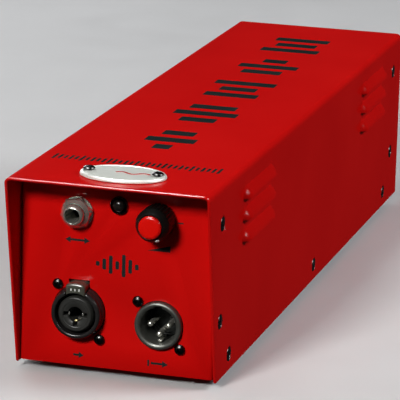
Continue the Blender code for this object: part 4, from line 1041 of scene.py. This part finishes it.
def build_combo_insert(centre, low):
    """The insert: a jack hole with a contact slot on its left, its right and below."""
    place = at(centre, "front")
    face = PANEL_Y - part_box("combo_insert")[0].y
    rim = COMBO_INSERT_R
    profile = [(JACK_BORE_R, face - 0.0005), (JACK_BORE_R + 0.0004, face - 0.0002), (0.0056, face - 0.0002),
               (0.0058, face), (rim - 0.0009, face), (rim - 0.0007, face - 0.0002),
               (rim - 0.0001, face - 0.0011), (rim, face - 0.0014), (rim, low), (JACK_BORE_R, low)]
    insert = as_object("input_insert", lathe(profile, 72), place)
    cutters = []
    for turn in (0, 90, 180):
        notch = as_object("notch", block((0.0, -0.0010, face - 0.0075), (0.0054, 0.0010, face + 0.0010)),
                          place @ Matrix.Rotation(math.radians(-turn), 4, "Z"))
        cutters.append(notch)
    cut(insert, cutters)
    bevelled(insert, 0.00012, 2, 50)
    piece(settled(insert, cutters, 38), "black_plastic", replaces=("combo_insert",), material=CHARCOAL)
    for name, turn, finish in (("right", 0, "chrome"), ("below", 90, "brass"), ("left", 180, "chrome")):
        spring = block((0.0036, -0.0006, face - 0.0060), (0.0043, 0.0006, face - 0.0012))
        bmesh.ops.rotate(spring, verts=spring.verts, cent=(0.0040, 0.0, face - 0.0060),
                         matrix=Matrix.Rotation(math.radians(-11), 3, "Y"))
        spring = as_object(f"input_contact_{name}", spring,
                           place @ Matrix.Rotation(math.radians(-turn), 4, "Z"))
        piece(settled(bevelled(spring, 0.0002)), finish)


def pillow(outline, middle, low, high, edge, steps=5):
    """A flat shape with a rounded edge on its upper side; it draws in towards its middle."""
    half_x = max(abs(x - middle[0]) for x, _ in outline)
    half_y = max(abs(y - middle[1]) for _, y in outline)
    layers = [(low, 0.0)]
    for angle in sweep(QUARTER, steps):
        layers.append((high - edge * (1 - math.sin(angle)), edge * (1 - math.cos(angle))))
    bm = bmesh.new()
    rings = []
    for height, inset in layers:
        shrink_x, shrink_y = 1 - inset / half_x, 1 - inset / half_y
        rings.append([bm.verts.new((middle[0] + (x - middle[0]) * shrink_x,
                                    middle[1] + (y - middle[1]) * shrink_y, height)) for x, y in outline])
    for ring, following in zip(rings, rings[1:]):
        for i in range(len(ring)):
            j = (i + 1) % len(ring)
            bm.faces.new((ring[i], ring[j], following[j], following[i]))
    bm.faces.new(rings[0])
    bm.faces.new(rings[-1])
    return bm


def build_latch(centre):
    """The press latch: a hollow underside, an arched crown, a rounded face and three grip marks."""
    low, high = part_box("combo_latch")
    half, crown = (high.x - low.x) / 2, high.z - centre.z
    span = math.asin(half / LATCH_UNDERSIDE_R)
    angles = [span * (i / 6 - 1) for i in range(13)]
    outline = [(LATCH_UNDERSIDE_R * math.sin(a), LATCH_UNDERSIDE_R * math.cos(a)) for a in angles]
    for angle in sweep(math.pi, 16):
        outline.append((half * math.cos(angle), LATCH_SHOULDER + (crown - LATCH_SHOULDER) * math.sin(angle)))
    place = Vector((centre.x, low.y, centre.z))
    middle_z = (LATCH_UNDERSIDE_R + crown) / 2
    tab = as_object("latch_tab", pillow(outline, (0.0, middle_z), low.y - high.y, 0.0, LATCH_ROUND),
                    at(place, "front"))
    dish_z = middle_z - 0.0005
    dish = as_object("dish", prism([rounded(half - 0.0015, 0.0009, 0.0005, (0.0, dish_z))], -0.00025, 0.001),
                     at(place, "front"))
    cut(tab, [dish])
    piece(settled(tab, [dish], 50), "grey_plastic", "input_latch", ("combo_latch",))
    for i in range(3):
        rib = as_object(f"latch_rib_{i + 1}",
                        prism([rounded(0.00030, 0.00055, 0.00025, ((i - 1) * 0.0018, dish_z), 3)],
                              -0.00035, -0.00002), at(place, "front"))
        piece(settled(bevelled(rib, 0.0001)), "grey_plastic", "input_latch", material=WHITE_INK)


# ---------------------------------------------------------------- output connector
def build_output():
    centre = on_front("xlr_shell")
    place = at(centre, "front")
    low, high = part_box("xlr_shell")
    bore, outer, proud, bottom = XLR_BORE_R, XLR_R, PANEL_Y - low.y, PANEL_Y - high.y
    profile = [(bore, proud - 0.0009), (bore + 0.0004, proud - 0.0003), (bore + 0.0009, proud - 0.0001),
               (bore + 0.0013, proud), (outer - 0.0010, proud), (outer - 0.0004, proud - 0.0002),
               (outer - 0.0001, proud - 0.0006), (outer, proud - 0.0011), (outer, bottom), (bore, bottom)]
    shell = as_object("output_shell", lathe(profile, 72), place)
    key = as_object("key", block((-0.0017, 0.0060, -0.0100), (0.0017, bore + 0.0009, 0.0040)),
                    place)
    cut(shell, [key])
    bevelled(shell, 0.00015, 2, 60)
    piece(settled(shell, [key], 38), "gunmetal", replaces=("xlr_shell",))

    face = bottom + 0.0050
    inner = bore - GAP
    profile = [(0, face), (0.0058, face), (0.0060, face - 0.0003), (0.0066, face - 0.0003), (0.0068, face),
               (inner - 0.0002, face), (inner, face - 0.0002), (inner, bottom - 0.0010), (0, bottom - 0.0010)]
    turned("output_insert", profile, 64, place, "black_plastic", replaces=("xlr_insert",))
    for number in (1, 2, 3):
        node = f"xlr_pin_{number}"
        low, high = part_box(node)
        radius = (high.x - low.x) / 2
        tip, tail = PANEL_Y - low.y, PANEL_Y - high.y
        profile = [(0, tip)]
        profile += [(radius * math.sin(a), tip - radius * (1 - math.cos(a)))
                    for a in sweep(QUARTER, 6, 1)]
        profile += [(radius, tail), (0, tail)]
        turned(f"contact_pin_{number}", profile, 32, at(on_front(node), "front"), "chrome", replaces=(node,))
    lug = block((-0.0006, -0.0074, -0.0080), (0.0012, -0.0066, -0.0008))
    piece(settled(bevelled(as_object("output_earth_lug", lug, place), 0.0003)), "chrome")


# ---------------------------------------------------------------- rear fittings
def bezel(name, half_x, half_z, corner, face, depth, tub_corner, place):
    """A rounded flange on the panel, joined to the tub behind it; the tub is dropped once this settles."""
    flange = as_object(name, prism([rounded(half_x, half_z, corner)], GAP, face), place)
    bevelled(flange, 0.0005, 3, 50)
    tub_outline = rounded(half_x - REAR_RIM, half_z - REAR_RIM, tub_corner)
    tub = as_object("tub", prism([tub_outline], -depth, GAP + 0.0005), place)
    cut(flange, [tub], "UNION")
    return flange, tub


def build_inlet():
    """The mains inlet: a flanged moulding, its shaped cavity and its three blades."""
    low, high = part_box("power_inlet")
    centre = on_rear("power_inlet")
    place = at(centre, "rear")
    half_x, half_z = (high.x - low.x) / 2, (high.z - low.z) / 2
    flange, tub = bezel("inlet_moulding", half_x, half_z, 0.0022, high.y - REAR_PANEL_Y, REAR_PANEL_Y - low.y,
                        0.0010, place)
    cavity_low, cavity_high, wide, corner = -0.0160, 0.0010, 0.0118, 0.0036
    outline = [(-wide, cavity_low), (wide, cavity_low), (wide, cavity_high - corner),
               (wide - corner, cavity_high), (-wide + corner, cavity_high), (-wide, cavity_high - corner)]
    cavity = as_object("cavity", prism([[(x, -z) for x, z in outline]], -0.0155, 0.0080), place)
    pocket_z = middle("fuse_drawer").z - centre.z
    fuse_low, fuse_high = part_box("fuse_drawer")
    fuse_x, fuse_z = (fuse_high.x - fuse_low.x) / 2, (fuse_high.z - fuse_low.z) / 2
    pocket_outline = rounded(fuse_x + GAP, fuse_z + GAP, 0.0004, (0.0, -pocket_z))
    pocket = as_object("pocket", prism([pocket_outline], -0.0170, 0.008), place)
    cut(flange, [cavity, pocket])
    piece(settled(flange, [tub, cavity, pocket], 38), "black_plastic", replaces=("power_inlet",))
    for label, dx, dz in (("earth", 0.0, 0.0035), ("live", -0.0070, -0.0005), ("neutral", 0.0070, -0.0005)):
        blade_low = (centre.x + dx - 0.0010, REAR_PANEL_Y - 0.0170, centre.z - 0.0095 + dz)
        blade_high = (centre.x + dx + 0.0010, REAR_PANEL_Y - 0.0010, centre.z - 0.0055 + dz)
        blade = as_object(f"inlet_blade_{label}", block(blade_low, blade_high))
        piece(settled(bevelled(blade, 0.0006, 3)), "chrome")

    drawer = as_object("fuse_tray", prism([rounded(fuse_x, fuse_z, 0.0004)], fuse_low.y - REAR_PANEL_Y,
                                          GAP + 0.0022),
                       at((centre.x, REAR_PANEL_Y, centre.z + pocket_z), "rear"))
    trough_x = fuse_x - FUSE_TRAY_WALL
    trough_low = (centre.x - trough_x, REAR_PANEL_Y - 0.0150, fuse_low.z + FUSE_TRAY_WALL)
    trough_high = (centre.x + trough_x, REAR_PANEL_Y - 0.0010, fuse_high.z + 0.002)
    trough = as_object("trough", block(trough_low, trough_high))
    lip = as_object("lip", prism([rounded(0.0040, 0.0008, 0.0006)], GAP + 0.0012, GAP + 0.0034),
                    at((centre.x, REAR_PANEL_Y, centre.z + pocket_z - 0.0002), "rear"))
    cut(drawer, [trough])
    cut(drawer, [lip], "UNION")
    bevelled(drawer, 0.0002, 2, 50)
    piece(settled(drawer, [trough, lip], 38), "black_plastic", "fuse_holder", ("fuse_drawer",))
    half = [(0, 0.0060), (0.0014, 0.0060), (0.0016, 0.0058), (0.0016, 0.0045), (0.0015, 0.0044)]
    fuse = half + [(radius, -height) for radius, height in reversed(half)]
    turned("spare_fuse", fuse, 32, at((centre.x, REAR_PANEL_Y - 0.0080, fuse_low.z + 0.0034), "right"),
           "zinc_plate", "fuse_holder")


def build_switches():
    """The rocker in its frame, with its two marks, and the ground-lift toggle with its nut."""
    low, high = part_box("power_switch_frame")
    centre = on_rear("power_switch_frame")
    half_x, half_z = (high.x - low.x) / 2, (high.z - low.z) / 2
    rim, tub = bezel("switch_bezel", half_x, half_z, 0.0016, high.y - REAR_PANEL_Y, REAR_PANEL_Y - low.y,
                     0.0008, at(centre, "rear"))
    rocker_x, rocker_z = ROCKER_HALF_X, ROCKER_HALF_Z
    pocket_outline = rounded(rocker_x + 0.0005, rocker_z + 0.0014, 0.0006)
    pocket = as_object("pocket", prism([pocket_outline], -0.0120, 0.008), at(centre, "rear"))
    cut(rim, [pocket])
    piece(settled(rim, [tub, pocket], 38), "black_plastic", replaces=("power_switch_frame",))

    axis_y = next(j for j in frame["joints"] if j["name"] == "power_rock")["pos_m"][1]
    tilt = Matrix.Translation((centre.x, axis_y, centre.z)) @ Matrix.Rotation(ROCKER_REST, 4, "X")
    outline = [(-0.0030, -0.0045), (0.0030, -0.0045), (rocker_z, 0.0010), (rocker_z, 0.0053),
               (rocker_z - 0.0005, 0.0055)]
    outline += [(rocker_z * (1 - i / 4), 0.0042 + 0.0013 * (1 - i / 4) ** 1.6) for i in range(1, 5)]
    outline += [(-x, y) for x, y in reversed(outline[3:-1])]
    outline += [(-rocker_z, 0.0010)]
    rocker = as_object("rocker_cap", prism([outline], -rocker_x, rocker_x), tilt @ FACING["right"])
    bevelled(rocker, 0.0004, 3, 50)
    piece(settled(rocker, sharp=38), "black_plastic", "power_rocker", ("power_switch_rocker",))
    stroke = as_object("rocker_mark_on", block((-0.0003, 0.00505, 0.0032), (0.0003, 0.00535, 0.0058)), tilt)
    piece(settled(stroke), "silver_plate", "power_rocker", material=WHITE_INK)
    ring = [(0.0010, 0.0002), (0.0014, 0.0002), (0.0014, -0.0002), (0.0010, -0.0002)]
    turned("rocker_mark_off", ring, 32, tilt @ at((0.0, 0.00515, -0.0045), "rear"), "silver_plate",
           "power_rocker", material=WHITE_INK)

    centre = on_rear("ground_lift_body")
    crest, root = LIFT_CREST_R, LIFT_CREST_R - 0.00022
    profile = [(0.0024, 0.0052), (0.0028, 0.0052), (crest, 0.0050)]
    height = 0.0048
    while height > 0.0004:
        profile += [(crest, height), (crest, height - 0.0001), (root, height - 0.00025)]
        height -= LIFT_THREAD_PITCH
    profile += [(crest, height), (crest, -0.0017), (0.0020, -0.0017), (0.0020, 0.0030)]
    turned("lift_bushing", profile, 48, at(centre, "rear"), "chrome", replaces=("ground_lift_body",))
    low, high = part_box("ground_lift_body")
    case = as_object("lift_housing", block(low, (high.x, REAR_PANEL_Y - CHASSIS_SHEET - GAP, high.z)))
    piece(settled(bevelled(case, 0.0005)), "black_plastic")
    nut = as_object("lift_nut", hex_nut(LIFT_NUT_FLATS, LIFT_CREST_R + 0.00015, 0.0018),
                    at(centre + Vector((0, GAP, 0)), "rear"))
    piece(settled(nut, sharp=25), "chrome")

    pivot = next(j for j in frame["joints"] if j["name"] == "ground_lift_flip")["pos_m"]
    tilt = Matrix.Translation(pivot) @ Matrix.Rotation(LEVER_REST, 4, "X") @ FACING["rear"]
    profile = [(0, 0.0085)]
    profile += [(LEVER_TIP_R * math.sin(a), 0.0074 + LEVER_TIP_R * math.cos(a))
                for a in sweep(math.pi * 0.62, 8, 1)]
    profile += [(0.00085, 0.0050), (0.0007, 0.0010), (0.0007, -0.0012), (0, -0.0012)]
    turned("lift_lever", profile, 32, tilt, "chrome", "ground_lift_toggle", ("ground_lift_lever",))


def build_rear_marks():
    """An earth symbol by the lift switch."""
    lift = on_rear("ground_lift_body")
    x, z = lift.x + 0.0125, lift.z
    shapes = [bar(x, -(z + 0.0016), 0.00025, 0.0016, 0.0001)]
    for i, half in enumerate((0.0024, 0.0016, 0.0008)):
        shapes.append(bar(x, -(z - 0.0004 - i * 0.0011), half, 0.00028, 0.0001))
    marks = as_object("rear_marks", prism(shapes, -INK, INK), at((0.0, REAR_PANEL_Y, 0.0), "rear"))
    piece(settled(marks), "black_plastic", material=BLACK_INK)


# ---------------------------------------------------------------- the CAD nodes that stay
def finish_carried_nodes():
    slots = {row["node"]: row["material_slot"] for row in frame["record"]["subparts"]}
    for name, node in frame["nodes"].items():
        if node.hide_render:
            continue
        node.data.materials.clear()
        node.data.materials.append(FINISHES[slots[name]])
        bevelled(node, 0.0002, 2, 50)


# ---------------------------------------------------------------- stage, camera and light
CAMERA_PLACE = Vector((0.3582, FRONT_Y - 1.1162, BOTTOM_Z + 0.3878))
CAMERA_YAW = math.radians(15.87)
CAMERA_PITCH = math.radians(-14.64)
CAMERA_ROLL = math.radians(1.50)
CAMERA_LENS = 262.1


def build_camera():
    camera = linked("camera", bpy.data.cameras.new("camera"))
    turn = (Matrix.Rotation(CAMERA_YAW, 4, "Z") @ Matrix.Rotation(math.pi / 2 + CAMERA_PITCH, 4, "X")
            @ Matrix.Rotation(CAMERA_ROLL, 4, "Z"))
    camera.matrix_world = Matrix.Translation(CAMERA_PLACE) @ turn
    camera.data.lens = CAMERA_LENS
    camera.data.clip_start = 0.05
    camera.data.clip_end = 30.0
    bpy.context.scene.camera = camera


def area_light(name, place, target, size, power, colour=(1.0, 1.0, 1.0), sheen_only=False):
    """A softbox; one that is sheen_only shows in reflections and adds nothing to matt surfaces."""
    light = bpy.data.lights.new(name, "AREA")
    light.shape = "RECTANGLE"
    light.size, light.size_y = size
    light.energy = power
    light.color = colour
    obj = linked(name, light)
    obj.location = place
    obj.rotation_euler = (Vector(target) - Vector(place)).to_track_quat("-Z", "Y").to_euler()
    obj.visible_diffuse = not sheen_only


def build_stage():
    bm = bmesh.new()
    bmesh.ops.create_grid(bm, x_segments=1, y_segments=1, size=6.0)
    floor = as_object("floor", bm)
    finish = Finish("pale_floor")
    finish.colour(finish.ramp(finish.noise(6.0), [(0.3, (0.66, 0.66, 0.665)), (0.7, (0.70, 0.70, 0.705))]))
    finish.roughness(finish.noise(30.0), 0.55, 0.70)
    floor.data.materials.append(finish.material)
    floor.visible_glossy = False
    floor.visible_diffuse = False
    world = bpy.data.worlds.new("studio")
    world.use_nodes = True
    background = world.node_tree.nodes["Background"]
    background.inputs["Color"].default_value = (0.90, 0.94, 1.00, 1.0)
    background.inputs["Strength"].default_value = 0.03
    bpy.context.scene.world = world
    bpy.context.scene.view_settings.view_transform = "Standard"
    area_light("key", (-0.30, -1.55, 0.92), (0.0, -0.15, 0.05), (0.36, 0.30), 24.0, (1.0, 0.985, 0.96))
    area_light("top", (-0.35, -0.25, 1.60), (0.0, 0.0, 0.05), (0.45, 0.45), 1.8)
    area_light("rear_fill", (-1.10, 1.25, 0.60), (0.0, 0.05, 0.05), (0.80, 0.60), 9.0, (0.97, 0.985, 1.0))
    area_light("side", (1.50, 0.25, 1.15), (0.0, 0.05, 0.05), (0.70, 0.50), 22.0, (0.97, 0.985, 1.0))
    area_light("overhead_sheen", (-0.43, -0.55, 1.60), (0.0, -0.17, 0.09), (1.20, 0.70), 62.0,
               sheen_only=True)
    area_light("right_sheen", (1.50, -0.10, 1.15), (0.0, -0.10, 0.05), (0.80, 0.90), 50.0, sheen_only=True)
    area_light("front_sheen", (-0.30, -1.50, 1.00), (0.0, -0.18, 0.05), (1.00, 0.60), 16.0, sheen_only=True)


build_camera()
build_stage()
build_cover()
build_chassis()
build_feet()
build_screws()
build_badge()
build_top_marks()
build_panel_marks()
build_thru_jack()
build_indicator()
build_level_knob()
build_combo_input()
build_output()
build_inlet()
build_switches()
build_rear_marks()
finish_carried_nodes()
